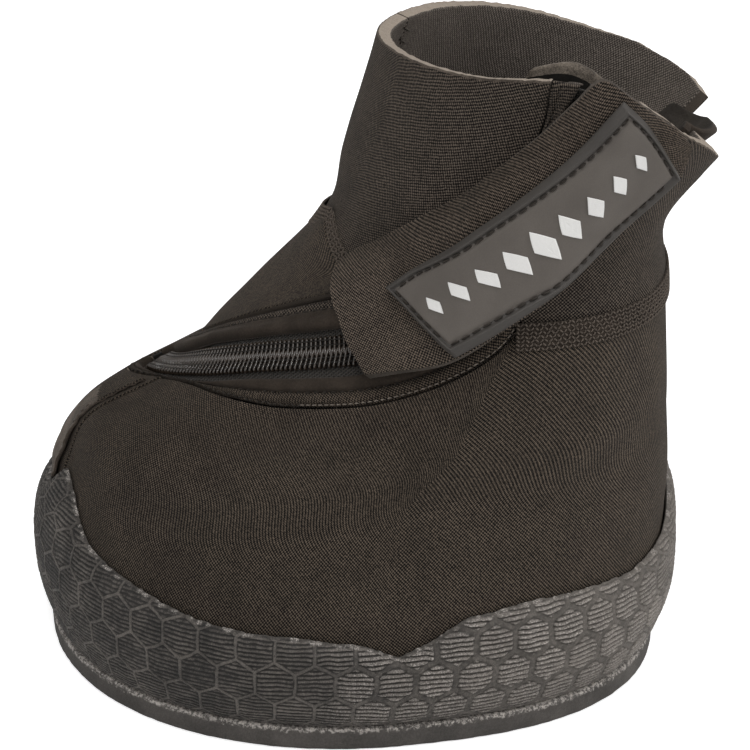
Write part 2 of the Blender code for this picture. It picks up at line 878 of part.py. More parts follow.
def collar_line(start, end, count, height_of, gap):
    angles = np.linspace(start, end, count)
    return np.stack([angles, height_of(angles) + gap], -1)


def build_collar(surface):
    rows = COLLAR_ROWS + 1
    seam_turn = radians(COLLAR_SEAM_TURN)
    gap_turn = angle_at(SEAM_GAP / 2, COLLAR_HEIGHT)
    # Front: from the zip's front facing round the shin to the vertical seam
    facing = between_seam_and_rim(beside(facing_edge(FRONT_FACING_EDGE_SHARES), FACING_GAP), rows)
    columns = FRONT_COLLAR_COLUMNS + 1
    lower = collar_line(seam_turn + gap_turn, facing[0, 0], columns, seam_height, SEAM_GAP / 2)
    upper = collar_line(seam_turn + gap_turn, facing[-1, 0], columns, rim_height, 0)
    heights = np.linspace(lower[0, 1], upper[0, 1], rows)
    front_seam = np.stack([np.full(rows, seam_turn + gap_turn), heights], -1)
    panel("collar_front", patch(lower, facing, upper, front_seam), surface)
    # Far side: from the vertical seam to the heel opening
    columns = FAR_COLLAR_COLUMNS + 1
    heel = heel_edge(-1, rows)
    lower = collar_line(heel[0, 0], seam_turn - gap_turn, columns, seam_height, SEAM_GAP / 2)
    upper = collar_line(heel[-1, 0], seam_turn - gap_turn, columns, rim_height, 0)
    heights = np.linspace(lower[-1, 1], upper[-1, 1], rows)
    far_seam = np.stack([np.full(rows, seam_turn - gap_turn), heights], -1)
    grid = patch(lower, far_seam, upper, heel)
    panel("collar_far", grid, surface, outer=heel_flare(grid[..., 0], grid[..., 1]))
    # Zip side: from the zip's side facing to the heel opening
    columns = NEAR_COLLAR_COLUMNS + 1
    facing = between_seam_and_rim(beside(facing_edge(SIDE_FACING_EDGE_SHARES), -FACING_GAP), rows)
    heel = heel_edge(1, rows)
    lower = collar_line(facing[0, 0], heel[0, 0], columns, seam_height, SEAM_GAP / 2)
    upper = collar_line(facing[-1, 0], heel[-1, 0], columns, rim_height, 0)
    panel("collar_near", patch(lower, heel, upper, facing), surface)


def build_gusset(surface):
    across = np.linspace(-1, 1, GUSSET_COLUMNS + 1)
    foot = seam_height(pi) + GUSSET_FOOT_RISE
    top = rim_height(pi) + GUSSET_TOP_RISE - GUSSET_SHOULDER * np.abs(across) ** 2.2
    heights = rows_between(np.full(len(across), foot), top, GUSSET_ROWS + 1)
    angles = heel_angle_at(across * GUSSET_HALF, heights)
    seam = seam_height(pi) + SEAM_GAP / 2
    free = np.maximum(notch_half(heights, seam, rim_height(pi)) - GUSSET_BULGE_MARGIN, TOUCH_GAP)
    swell = np.clip(1 - (across * GUSSET_HALF / free) ** 2, 0, 1)
    rise = (heights - foot) / (top - foot)
    depth = GUSSET_BULGE * swell * rise - NEOPRENE - RAND_GAP
    depth = depth + heel_flare(angles, heights)
    grid = np.stack([angles, heights], -1)[:, ::-1]
    panel("heel_gusset", grid, surface, outer=depth[:, ::-1], thickness=GUSSET_THICKNESS)


def build_tapes(surface):
    across = np.linspace(-1, 1, 5)
    outer = TOUCH_GAP + TAPE_THICKNESS
    turns = angle_at(across * TOE_TAPE_HALF, rand_top(0))
    edge = facing_edge(SIDE_FACING_EDGE_SHARES)
    low = rand_top(turns) + 2 * TAPE_END_GAP
    high = np.interp(turns, edge[:, 0], edge[:, 1]) - 2 * TAPE_END_GAP
    heights = rows_between(low, high, TOE_TAPE_ROWS + 1)
    grid = np.stack([angle_at(across * TOE_TAPE_HALF, heights), heights], -1)
    panel("toe_tape", grid, surface, outer=outer, thickness=TAPE_THICKNESS)
    low = rand_top(pi) + TAPE_END_GAP
    high = seam_height(pi) - BAND_WIDTH / 2 - TAPE_END_GAP
    heights = rows_between(np.full(5, low), np.full(5, high), HEEL_TAPE_ROWS + 1)
    grid = np.stack([heel_angle_at(across * HEEL_TAPE_HALF, heights), heights], -1)[:, ::-1]
    panel("heel_tape", grid, surface, outer=outer, thickness=TAPE_THICKNESS)


def band_grid(start, end, columns):
    angles = np.linspace(start, end, columns + 1)
    middle = np.stack([angles, seam_height(angles)], -1)
    edges = [beside(middle, BAND_WIDTH / 2 * share) for share in (-1, 0, 1)]
    return np.stack(edges)


def build_bands(surface):
    """Flat seam bands over the join of cup and collar, one each side of the zip."""
    outer = TOUCH_GAP + TAPE_THICKNESS
    end_turn = radians(INSTEP_TURN) - angle_at(BAND_END, COLLAR_HEIGHT)
    heel_turn = heel_angle_at(TOUCH_GAP / 2, COLLAR_HEIGHT)
    front = band_grid(-heel_turn, end_turn, BAND_COLUMNS)
    panel("seam_band_front", front, surface, outer=outer, thickness=TAPE_THICKNESS)
    start = radians(SIDE_BAND_TURN) + angle_at(BAND_END, COLLAR_HEIGHT)
    side = band_grid(start, heel_turn, SIDE_BAND_COLUMNS)
    panel("seam_band_side", side, surface, outer=outer, thickness=TAPE_THICKNESS)


def slot_share(lengths):
    """How far the slot has opened at a distance from its narrow far end."""
    return np.interp(lengths / SLOT_ROUND, column_of(SLOT_OPEN_SHARES, 0), column_of(SLOT_OPEN_SHARES, 1))


def between_edges(inner, outer, rows):
    share = np.linspace(0, 1, rows)[:, None, None]
    return inner[None] * (1 - share) + outer[None] * share


def build_facings(surface):
    count = ZIP_STEPS + 1
    end = zip_length()
    route = zip_route(0, end, count)
    open_share = slot_share(np.linspace(0, end, count))
    front_inner = beside(route, SLOT_START + (FRONT_SLOT - SLOT_START) * open_share)
    side_inner = beside(route, -(SLOT_START + (SIDE_SLOT - SLOT_START) * open_share))
    front_outer = facing_edge(FRONT_FACING_EDGE_SHARES)
    side_outer = facing_edge(SIDE_FACING_EDGE_SHARES)
    for edge in (front_inner, side_inner):
        edge[-1, 1] = rim_height(edge[-1, 0])
    panel("zip_facing_front", between_edges(front_inner, front_outer, 3), surface, thickness=FACING_THICKNESS)
    panel("zip_facing_side", between_edges(side_outer, side_inner, 3), surface, thickness=FACING_THICKNESS)


def chain_parting(lengths):
    """Half the space between the two chains: shut below the slider and open above it."""
    end = zip_length() - SLIDER_PLACE
    share = np.clip((lengths - end + SLIDER_LENGTH / 2) / SLIDER_LENGTH, 0, 1)
    share = share * share * (3 - 2 * share)
    return CHAIN_SPLIT + (CHAIN_OPEN - CHAIN_SPLIT) * share


def tape_top():
    return -(FACING_THICKNESS + TOUCH_GAP)


def chain_foot():
    return tape_top() + TOUCH_GAP


def chain_top():
    return chain_foot() + CHAIN_THICKNESS


def build_zip_tapes(surface):
    count = ZIP_STEPS + 1
    start = ZIP_TAPE_START
    end = zip_length() - ZIP_TOP_MARGIN
    route = zip_route(start, end, count)
    inner = chain_parting(np.linspace(start, end, count))
    for name, side in (("zip_tape_front", 1), ("zip_tape_side", -1)):
        facing = facing_edge(FRONT_FACING_EDGE_SHARES if side > 0 else SIDE_FACING_EDGE_SHARES)
        reaches = np.linalg.norm(at_form(facing)[None] - at_form(route)[:, None], axis=2)
        outer = np.minimum(ZIP_TAPE_HALF, reaches.min(axis=1) * TAPE_ROOM_SHARE)
        edges = [beside(route, side * width) for width in (inner, (inner + outer) / 2, outer)]
        grid = np.stack(edges[::side])
        panel(name, grid, surface, outer=tape_top(), thickness=ZIP_TAPE_THICKNESS)


def build_chains(surface):
    count = CHAIN_STEPS + 1
    start = CHAIN_START
    end = zip_length() - ZIP_TOP_MARGIN - STOP_LENGTH - TOUCH_GAP
    route = zip_route(start, end, count)
    inner = chain_parting(np.linspace(start, end, count))
    ribs = np.where(np.arange(count) % 2, CHAIN_RIB, 0)
    outer = chain_top() - ribs
    for name, side in (("zip_chain_front", 1), ("zip_chain_side", -1)):
        far_edge = inner + CHAIN_HALF - CHAIN_SPLIT
        edges = [beside(route, side * width) for width in (inner, (inner + far_edge) / 2, far_edge)]
        grid = np.stack(edges[::side])
        outer_skin = at_depth(grid[..., 0], grid[..., 1], np.broadcast_to(outer, grid.shape[:2]))
        inner_skin = at_depth(grid[..., 0], grid[..., 1], np.full(grid.shape[:2], chain_foot()))
        sheet(name, inner_skin, outer_skin, surface)


def build_stops(surface):
    outer = chain_top() + STOP_RISE / 2
    thickness = outer - chain_foot()
    route = zip_route(CHAIN_START - STOP_LENGTH - TOUCH_GAP, CHAIN_START - TOUCH_GAP, 3)
    edges = [beside(route, -STOP_HALF), beside(route, STOP_HALF)]
    panel("zip_bottom_stop", np.stack(edges), surface, outer=outer, thickness=thickness)
    end = zip_length() - ZIP_TOP_MARGIN
    route = zip_route(end - STOP_LENGTH, end, 3)
    for name, side in (("zip_top_stop_front", 1), ("zip_top_stop_side", -1)):
        edges = [beside(route, side * CHAIN_OPEN), beside(route, side * (CHAIN_OPEN + 2 * STOP_HALF))]
        panel(name, np.stack(edges[::side]), surface, outer=outer, thickness=thickness)


def build_guard(surface):
    """The flap behind the zip: sewn along the side facing, and bowed into the boot at the rim."""
    end = zip_length()
    count = GUARD_STEPS + 1
    route = zip_route(GUARD_START, end, count)
    near_rim = ease(np.linspace(GUARD_START, end, count), end - GUARD_FLARE, end)
    free_edge = GUARD_FREE_EDGE + (GUARD_TOP_EDGE - GUARD_FREE_EDGE) * near_rim
    top = -(NEOPRENE + TOUCH_GAP)
    lines = []
    depths = []
    for across, drop, bow in zip(GUARD_ACROSS_SHARES, GUARD_DROP_SHARES, GUARD_BOW_SHARES):
        line = beside(route, across * (GUARD_SEWN_EDGE if across < 0 else free_edge))
        line[:, 1] += (height_on(GUARD_TOP_SHARES, line[-1, 0]) - line[-1, 1]) * near_rim
        lines.append(line)
        depths.append(top - GUARD_DROP * drop * (1 - near_rim) - GUARD_BOW * bow * near_rim)
    grid = np.stack(lines)
    depth = np.stack(depths)
    outer_skin = at_depth(grid[..., 0], grid[..., 1], depth)
    inner_skin = at_depth(grid[..., 0], grid[..., 1], depth - GUARD_THICKNESS)
    sheet("zip_guard", inner_skin, outer_skin, surface)


def slider_frame():
    """The slider's place: x along the zip towards the rim, y across it, z out of the boot."""
    place = zip_length() - SLIDER_PLACE
    step = SLIDER_LENGTH / 4
    line = zip_route(place - step, place + step, 3)
    points = on_form(line[:, 0], line[:, 1])
    ahead = Vector(points[2] - points[0]).normalized()
    out = Vector(outward(line[1, 0], line[1, 1]))
    side = out.cross(ahead).normalized()
    out = ahead.cross(side)
    frame = Matrix((ahead, side, out)).transposed().to_4x4()
    frame.translation = Vector(points[1])
    return frame


def slider_track():
    """The straight run of the slider from its closed place, lifting clear of the flaring side."""
    place = zip_length() - SLIDER_PLACE
    line = zip_route(place - SLIDER_TRAVEL, place, 2)
    far, closed = (Vector(point) for point in at_depth(line[:, 0], line[:, 1], [SLIDER_LIFT, 0]))
    return closed, (far - closed).normalized(), (far - closed).length


def build_slider(surface):
    frame = slider_frame()
    upper_foot = chain_top() + SLIDER_CLEARANCE
    upper_top = upper_foot + SLIDER_PLATE
    lower_top = tape_top() - ZIP_TAPE_THICKNESS - SLIDER_LOWER_CLEARANCE
    size = (SLIDER_LENGTH, 2 * SLIDER_HALF, SLIDER_PLATE)
    slider = cube("zip_slider", size, (0, 0, upper_foot + SLIDER_PLATE / 2), PARTS, frame)
    slider.data.materials.append(surface)
    lower = cube("slider_lower_plate", size, (0, 0, lower_top - SLIDER_PLATE / 2), CUTTERS, frame)
    boolean(slider, lower, "UNION")
    post_reach = upper_foot - lower_top + SLIDER_PLATE
    post_size = (SLIDER_POST_LENGTH, 2 * SLIDER_POST_HALF, post_reach)
    post_place = (SLIDER_LENGTH / 2 - SLIDER_POST_LENGTH, 0, (upper_foot + lower_top) / 2)
    boolean(slider, cube("slider_post", post_size, post_place, CUTTERS, frame), "UNION")
    leg_reach = PULLER_THICKNESS + 2 * SLIDER_CLEARANCE + BRIDGE_BAR + SLIDER_PLATE / 2
    leg_middle = upper_top - SLIDER_PLATE / 2 + leg_reach / 2
    for name, side in (("bridge_leg_rim", 1), ("bridge_leg_toe", -1)):
        place = (side * BRIDGE_SPAN / 2, 0, leg_middle)
        leg = cube(name, (BRIDGE_LEG, 2 * BRIDGE_HALF, leg_reach), place, CUTTERS, frame)
        boolean(slider, leg, "UNION")
    bar_place = (0, 0, upper_top + leg_reach - SLIDER_PLATE / 2 - BRIDGE_BAR / 2)
    bar = cube("bridge_bar", (BRIDGE_SPAN + BRIDGE_LEG / 2, 2 * BRIDGE_HALF, BRIDGE_BAR), bar_place, CUTTERS, frame)
    boolean(slider, bar, "UNION")
    move_origin(slider, slider_track()[0])


def puller_pivot():
    """The middle of the bridge's toe leg, on top of the slider's upper plate."""
    upper_top = chain_top() + SLIDER_CLEARANCE + SLIDER_PLATE
    return Vector((-BRIDGE_SPAN / 2, 0, upper_top + SLIDER_CLEARANCE))


def hang_turn(frame):
    """The turn that lets the puller hang straight down from its pivot."""
    down = frame.to_3x3().inverted() @ Vector((0, 0, -1))
    return atan2(-down.y, -down.x)


def build_puller(surface):
    """A flat tab whose eye goes round the bridge's toe leg, so it sways under the strap."""
    frame = slider_frame() @ Matrix.Translation(puller_pivot())
    frame = frame @ Matrix.Rotation(hang_turn(frame), 4, "Z")
    front = PULLER_EYE + BRIDGE_LEG / 2
    middle = (front - PULLER_LENGTH / 2, 0, PULLER_THICKNESS / 2)
    size = (PULLER_LENGTH, 2 * PULLER_HALF, PULLER_THICKNESS)
    puller = cube("zip_puller", size, middle, PARTS, frame)
    puller.data.materials.append(surface)
    body = bmesh.new()
    bmesh.ops.create_cone(
        body,
        cap_ends=True,
        segments=EYE_SIDES,
        radius1=PULLER_EYE,
        radius2=PULLER_EYE,
        depth=PULLER_THICKNESS + CUT_OVERRUN,
        matrix=frame @ Matrix.Translation((0, 0, PULLER_THICKNESS / 2)),
    )
    mesh = bpy.data.meshes.new("puller_eye")
    body.to_mesh(mesh)
    body.free()
    boolean(puller, add_object("puller_eye", mesh, None, CUTTERS), "DIFFERENCE")
    move_origin(puller, frame.translation)


def patch_stack():
    """Depth of the strap's inner face on the hook and loop patches."""
    return PATCH_GAP + 2 * TOUCH_GAP + 2 * PATCH_THICKNESS


def slider_stack():
    """Depth of the strap's inner face where it clears the slider's bridge and the puller."""
    bridge = chain_top() + 3 * SLIDER_CLEARANCE + SLIDER_PLATE + PULLER_THICKNESS + BRIDGE_BAR
    return bridge + STRAP_CLEARANCE


def strap_depth(angle):
    """Depth of the strap's inner face: on the patches, then over the slider, then down to the sewn edge."""
    rise = ease(angle, radians(STRAP_RISE_START), radians(STRAP_RISE_END))
    drop = ease(angle, radians(STRAP_DROP_START), radians(STRAP_DROP_END))
    low = patch_stack()
    high = slider_stack()
    return low + (high - low) * rise - (high - TOUCH_GAP) * drop


def strap_grid():
    tables = STRAP_LOWER_SHARES, STRAP_REAR_SHARES, STRAP_UPPER_SHARES, STRAP_FRONT_SHARES
    along = np.linspace(0, 1, STRAP_COLUMNS + 1)
    return ruled_patch(tables, along, np.linspace(0, 1, STRAP_ROWS + 1))


def build_strap(surface):
    grid = strap_grid()
    depth = strap_depth(grid[..., 0])
    inner_skin = at_depth(grid[..., 0], grid[..., 1], depth)
    outer_skin = at_depth(grid[..., 0], grid[..., 1], depth + STRAP_THICKNESS)
    strap = sheet("strap", inner_skin, outer_skin, surface)
    foot, _ = strap_axis()
    move_origin(strap, foot)


def strap_axis():
    """The strap's sewn edge near its inner face, from its lower to its upper corner."""
    ends = trace(STRAP_REAR_SHARES, 2)
    depth = np.full(2, TOUCH_GAP + STRAP_THICKNESS * STRAP_AXIS_SHARE)
    low, high = at_depth(ends[:, 0], ends[:, 1], depth)
    return Vector(low), (Vector(high) - Vector(low)).normalized()


def corner_grid(corners, along, across):
    """A grid between four corners, at shares along and across it."""
    angles, heights = places_of(corners)
    points = np.stack([angles, heights], -1)
    along = np.asarray(along, float)[None, :, None]
    across = np.asarray(across, float)[:, None, None]
    lower = points[0] * (1 - along) + points[1] * along
    upper = points[3] * (1 - along) + points[2] * along
    return lower * (1 - across) + upper * across


def build_patches(loop_surface, hook_surface):
    grid = corner_grid(PATCH_CORNER_SHARES, np.linspace(0, 1, PATCH_COLUMNS + 1), np.linspace(0, 1, PATCH_ROWS + 1))
    panel("loop_patch", grid, loop_surface, outer=PATCH_GAP + PATCH_THICKNESS, thickness=PATCH_THICKNESS)
    angles, heights = grid[..., 0], grid[..., 1]
    foot = np.full(angles.shape, PATCH_GAP + PATCH_THICKNESS + TOUCH_GAP)
    outer_skin = at_depth(angles, heights, strap_depth(angles) - TOUCH_GAP)
    hook = sheet("hook_patch", at_depth(angles, heights, foot), outer_skin, hook_surface)
    move_origin(hook, strap_axis()[0])


def badge_heights(count, columns, rows):
    """Thickness over the badge: a bevelled edge, a raised border and a flat field."""
    grid = np.full((rows, columns), BADGE_THICKNESS)
    for ring in range(count):
        level = BADGE_THICKNESS + BADGE_BORDER_RISE
        if ring == 0:
            level = BADGE_THICKNESS / 2
        grid[ring, ring:columns - ring] = level
        grid[rows - 1 - ring, ring:columns - ring] = level
        grid[ring:rows - ring, ring] = level
        grid[ring:rows - ring, columns - 1 - ring] = level
    return grid


def build_badge(surface):
    ends = np.array(BADGE_END_SHARES)
    field = np.linspace(ends[-1], 1 - ends[-1], BADGE_FIELD_COLUMNS + 1)[1:-1]
    along = np.concatenate([ends, field, (1 - ends)[::-1]])
    tables = BADGE_LOWER_SHARES, BADGE_REAR_SHARES, BADGE_UPPER_SHARES, BADGE_FRONT_SHARES
    grid = ruled_patch(tables, along, BADGE_ACROSS_SHARES)
    rows, columns = grid.shape[:2]
    foot = strap_depth(grid[..., 0]) + STRAP_THICKNESS + BADGE_GAP
    heights = badge_heights(BADGE_BORDER_COUNT, columns, rows)
    inner_skin = at_depth(grid[..., 0], grid[..., 1], foot)
    outer_skin = at_depth(grid[..., 0], grid[..., 1], foot + heights)
    badge = sheet("badge", inner_skin, outer_skin, surface)
    move_origin(badge, strap_axis()[0])


def build():
    neoprene = material("neoprene", NEOPRENE_COLOUR, 0.95)
    tape = material("sewn tape", TAPE_COLOUR, 0.85)
    rubber = material("moulded rubber", RUBBER_COLOUR, 0.55)
    foam = material("foam", FOAM_COLOUR, 0.95)
    board = material("fibre board", TAPE_COLOUR, 0.9)
    coil = material("nylon coil", COIL_COLOUR, 0.3)
    metal = material("dark metal", METAL_COLOUR, 0.35, 1.0)
    strap = material("ribbed neoprene", STRAP_COLOUR, 0.95)
    badge = material("badge rubber", BADGE_COLOUR, 0.6)
    build_outsole(rubber)
    build_rand(rubber)
    build_footbed(board, foam)
    build_cup_near(neoprene)
    build_cup_far(neoprene)
    build_collar(neoprene)
    build_gusset(neoprene)
    build_tapes(tape)
    build_bands(tape)
    build_facings(neoprene)
    build_zip_tapes(tape)
    build_chains(coil)
    build_stops(metal)
    build_guard(neoprene)
    build_slider(metal)
    build_puller(metal)
    build_strap(strap)
    build_patches(tape, tape)
    build_badge(badge)


clear_scene()
PARTS = bpy.data.collections.new("hoof_boot")
CUTTERS = bpy.data.collections.new("cutters")
bpy.context.scene.collection.children.link(PARTS)
bpy.context.scene.collection.children.link(CUTTERS)
build()
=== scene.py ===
"""Looks for the horse hoof boot: knitted neoprene, coil zip, strap with a moulded badge, and a hexagon rand.

Places on the boot are an angle round it, 0 at the toe and positive on the zip side, and a height. A depth is
measured square to the boot's form, positive outwards. All lengths are metres, and a weave's UVs are millimetres.
"""

from math import pi, radians

import bpy
import numpy as np
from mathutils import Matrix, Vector


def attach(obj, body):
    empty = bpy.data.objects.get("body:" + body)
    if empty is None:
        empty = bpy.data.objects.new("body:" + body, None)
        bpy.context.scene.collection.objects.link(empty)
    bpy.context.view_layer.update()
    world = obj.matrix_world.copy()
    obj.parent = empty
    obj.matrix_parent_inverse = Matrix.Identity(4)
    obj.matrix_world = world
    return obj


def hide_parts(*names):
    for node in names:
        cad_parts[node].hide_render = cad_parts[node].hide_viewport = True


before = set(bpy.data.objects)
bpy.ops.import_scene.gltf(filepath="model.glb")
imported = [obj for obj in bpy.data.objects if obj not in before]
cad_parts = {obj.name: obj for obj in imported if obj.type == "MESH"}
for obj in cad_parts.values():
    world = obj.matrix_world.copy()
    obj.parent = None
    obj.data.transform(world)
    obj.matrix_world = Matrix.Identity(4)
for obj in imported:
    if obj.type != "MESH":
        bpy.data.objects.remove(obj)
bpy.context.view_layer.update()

MM = 0.001

# ---------------------------------------------------------------- form, as in the part
SOLE_LENGTH = 0.147
SOLE_WIDTH = 0.138
COLLAR_HEIGHT = 0.152
# Height share, reach of toe, heel and side as shares of half the sole, fullness of the toe and heel corners
FORM = (
    (0.000, 1.000, 1.000, 1.000, 0.010, 0.083),
    (0.053, 0.986, 0.986, 0.986, 0.010, 0.083),
    (0.132, 1.007, 1.034, 1.007, 0.008, 0.072),
    (0.224, 1.014, 1.054, 1.000, 0.000, 0.066),
    (0.316, 0.934, 1.061, 0.964, -0.004, 0.060),
    (0.395, 0.846, 1.054, 0.928, -0.123, 0.060),
    (0.461, 0.568, 1.052, 0.896, -0.145, 0.053),
    (0.513, 0.445, 1.048, 0.862, -0.115, 0.050),
    (0.566, 0.320, 1.044, 0.826, -0.114, 0.046),
    (0.625, 0.181, 1.041, 0.787, -0.090, 0.040),
    (0.704, 0.056, 1.027, 0.739, -0.060, 0.036),
    (0.789, 0.014, 1.095, 0.704, -0.020, 0.032),
    (0.888, -0.048, 1.272, 0.686, 0.000, 0.030),
    (1.026, -0.136, 1.422, 0.681, 0.000, 0.030),
)
# Edges and routes: angle in degrees, height as a share of COLLAR_HEIGHT
RIM = (
    (-180, 0.840), (-165, 0.8575), (-156, 0.867), (-141, 0.877), (-133, 0.885), (-120, 0.896), (-90, 0.934),
    (-60, 0.961), (-30, 0.974), (0, 0.99), (45, 1.0), (78, 1.003), (92, 0.98), (122, 0.895), (150, 0.840),
    (180, 0.818),
)
SEAM = ((0, 0.697), (17, 0.668), (40, 0.645), (80, 0.632), (130, 0.625), (180, 0.622))
ZIP_ROUTE = (
    (-22.2, 0.4225), (-9.0, 0.45), (4.8, 0.4888), (19.0, 0.5277), (32.4, 0.5545), (45.3, 0.5792), (56.2, 0.6104),
    (64.8, 0.6548), (70.5, 0.715), (75.0, 0.785), (79.0, 0.865), (82.3, 0.94), (84.6, 0.999),
)
SIDE_FACING_EDGE = (
    (-22.2, 0.4), (-8.0, 0.43), (7.1, 0.4594), (20.6, 0.4685), (33.8, 0.4748), (45.0, 0.4889), (56.6, 0.5101),
    (65.6, 0.5328), (74.6, 0.564), (81.2, 0.5974), (85.2, 0.632), (87.5, 0.697), (90.0, 0.79), (93.4, 0.88),
    (96.6, 0.967),
)
FRONT_FACING_EDGE = (
    (-22.2, 0.462), (-14.5, 0.48), (-7.1, 0.5053), (2.3, 0.5455), (13.3, 0.5879), (25.3, 0.6256), (37.7, 0.6506),
    (49.9, 0.6819), (59.5, 0.735), (66.0, 0.802), (70.0, 0.875), (70.8, 0.943), (68.5, 1.0),
)
RAND_TOP = (
    (0, 0.254), (3.5, 0.262), (6.5, 0.288), (8.4, 0.3045), (12.4, 0.302), (18.3, 0.2925), (22, 0.276), (27.5, 0.249),
    (34.5, 0.233), (43, 0.218), (52.5, 0.202), (63, 0.195), (72, 0.194), (82, 0.184), (89, 0.159), (95, 0.184),
    (101, 0.213), (111, 0.224), (122.5, 0.221), (135, 0.212), (142, 0.215), (149.5, 0.220), (156, 0.232),
    (168, 0.262), (180, 0.272),
)
STRAP_LOWER = (
    (57.0, 0.5425), (66.0, 0.562), (75.0, 0.588), (83.0, 0.642), (91.0, 0.685), (101.0, 0.724), (109.5, 0.772),
    (115.5, 0.825), (121.0, 0.85),
)
STRAP_UPPER = (
    (25.7, 0.6843), (31.5, 0.719), (40.0, 0.756), (50.0, 0.7935), (59.0, 0.8345), (65.0, 0.885), (71.0, 0.936),
    (76.0, 0.986), (80.6, 1.022), (89.5, 0.9965), (100.0, 0.9595), (109.0, 0.931), (116.8, 0.901),
)
STRAP_FRONT = (
    (57.0, 0.5425), (51.0, 0.5585), (44.2, 0.5766), (37.5, 0.597), (30.8, 0.6175), (26.3, 0.639), (24.5, 0.661),
    (25.7, 0.6843),
)
STRAP_REAR = ((121.0, 0.85), (116.8, 0.901))
PATCH_CORNERS = ((31, 0.686), (49.5, 0.706), (58, 0.803), (40, 0.745))
BADGE_LOWER = (
    (75.8, 0.5925), (82.1, 0.6392), (89.0, 0.6798), (96.5, 0.7095), (104.0, 0.7445), (110.0, 0.784),
    (114.3, 0.824), (117.5, 0.86),
)
BADGE_UPPER = (
    (45.8, 0.664), (54.0, 0.7228), (64.4, 0.7727), (71.4, 0.8161), (76.5, 0.8655), (81.4, 0.9223), (84.6, 0.965),
    (87.0, 0.996),
)
BADGE_FRONT = ((75.8, 0.5925), (71.5, 0.6035), (63.6, 0.625), (55.0, 0.6445), (45.8, 0.664))
BADGE_REAR = ((117.5, 0.86), (110.0, 0.89), (102.8, 0.9245), (95.0, 0.962), (87.0, 0.996))
# How far the zip's slot has opened: share of SLOT_ROUND, share of the whole opening
SLOT_OPEN = ((0.0, 0.0), (0.06, 0.42), (0.13, 0.7), (0.45, 0.82), (1.0, 1.0))
# The guard from its sewn edge to its free edge: place, share of its drop, share of its bow
GUARD_ACROSS = (-1.0, -0.72, -0.45, 0.3, 0.62, 1.0)
GUARD_DROP_AT = (0.0, 0.1, 1.0, 1.0, 1.0, 1.0)
GUARD_BOW_AT = (0.0, 0.05, 0.55, 1.0, 0.85, 0.04)
GUARD_TOP_LINE = (
    (50, 1.0), (55, 1.008), (60, 1.020), (66, 1.025), (73, 1.023), (79, 1.012), (88, 0.986), (100, 0.955),
)

NEOPRENE = 0.0035
TOUCH_GAP = 0.0003
SEAM_GAP = 0.0006
FACING_GAP = 0.0003
BOTTOM_STACK = 0.006
PANEL_FOOT = 0.0010
SEAM_DIP = 0.0002
SEAM_DIP_WIDTH = 0.0032
EDGE = 0.0004
SOFT_EDGE = 0.0003
THIN_EDGE = 0.0002

# Sole
LIP_REACH = 0.0012
TREAD_DEPTH = 0.0022
TREAD_GROOVE = 0.0032
TREAD_PITCH = 0.0165
TREAD_BORDER = 0.011
TREAD_RIB_OFFSET = 0.024
TREAD_OVERRUN = 0.002
BOARD_THICKNESS = 0.0017
PAD_CLEARANCE = 0.0005
# Height over the ground, depth beside the lip
SOLE_PROFILE = (
    (0.0000, -0.0009), (0.0002, -0.0004), (0.0006, -0.0001), (0.0012, 0.0), (0.0028, 0.0001), (0.0040, 0.0001),
    (0.0047, 0.0002), (0.0052, 0.0002), (0.0056, 0.0), (0.0058, -0.0003), (0.0060, -0.0009),
)
PAD_PROFILE = (
    (0.0, -0.0006), (0.0004, -0.0001), (0.0010, 0.0), (0.0030, 0.0), (0.0038, -0.0003), (0.0043, -0.0009),
    (0.0045, -0.0020),
)

# Rand: its profile is a share of its height and a share of its bulge
RAND_BULGE = 0.0034
RAND_PROFILE = ((0.0, 0.34), (0.13, 0.78), (0.36, 1.0), (0.58, 0.92), (0.76, 0.76), (0.93, 0.52), (1.0, 0.12))
RAND_GAP = 0.0006
FAR_RAND_TOP = 0.0382
RAND_HEEL_TOP = 0.0600
RAND_HEEL_TURNS = (2.2, 2.7)
RAND_MIDDLE = 0.019
RAND_RING_DEPTH = 0.0045
HEX_WIDTH = 9.4
HEX_ANCHOR = radians(74.5)
RIB_PITCH = 1.25
BOLD_TURNS = (radians(68), radians(94))
CALM_TURNS = (radians(126), radians(156))

# Toe and heel
INSTEP_TURN = radians(33.0)
TOE_TURN = radians(-5.6)
TOE_TURN_ENDS = (radians(10), radians(42))
TOE_PUFF = 0.0026
TOE_PUFF_TURN = radians(-15)
TOE_PUFF_WIDTH = radians(13)
TOE_PUFF_HEIGHT = 0.0475
TOE_PUFF_TALL = 0.0085
TOE_PUFF_FOOT = 0.005
TOE_TAPE_HALF = 0.0046
TOE_KNIT_START = 0.0605
HEEL_TAPE_HALF = 0.0080
TAPE_THICKNESS = 0.0008
TAPE_OUTER = TOUCH_GAP + TAPE_THICKNESS
TAPE_END_GAP = 0.0006
TAPE_LIFT = 0.0009
TAPE_LIFT_HEIGHTS = (0.050, 0.062)
TAPE_FRAY = 0.0004
SHOULDER_RISE = 0.0013
SHOULDER_DROP = 0.006
SHOULDER_WIDTH = 0.010
SHOULDER_TURNS = (0.6, 1.0)

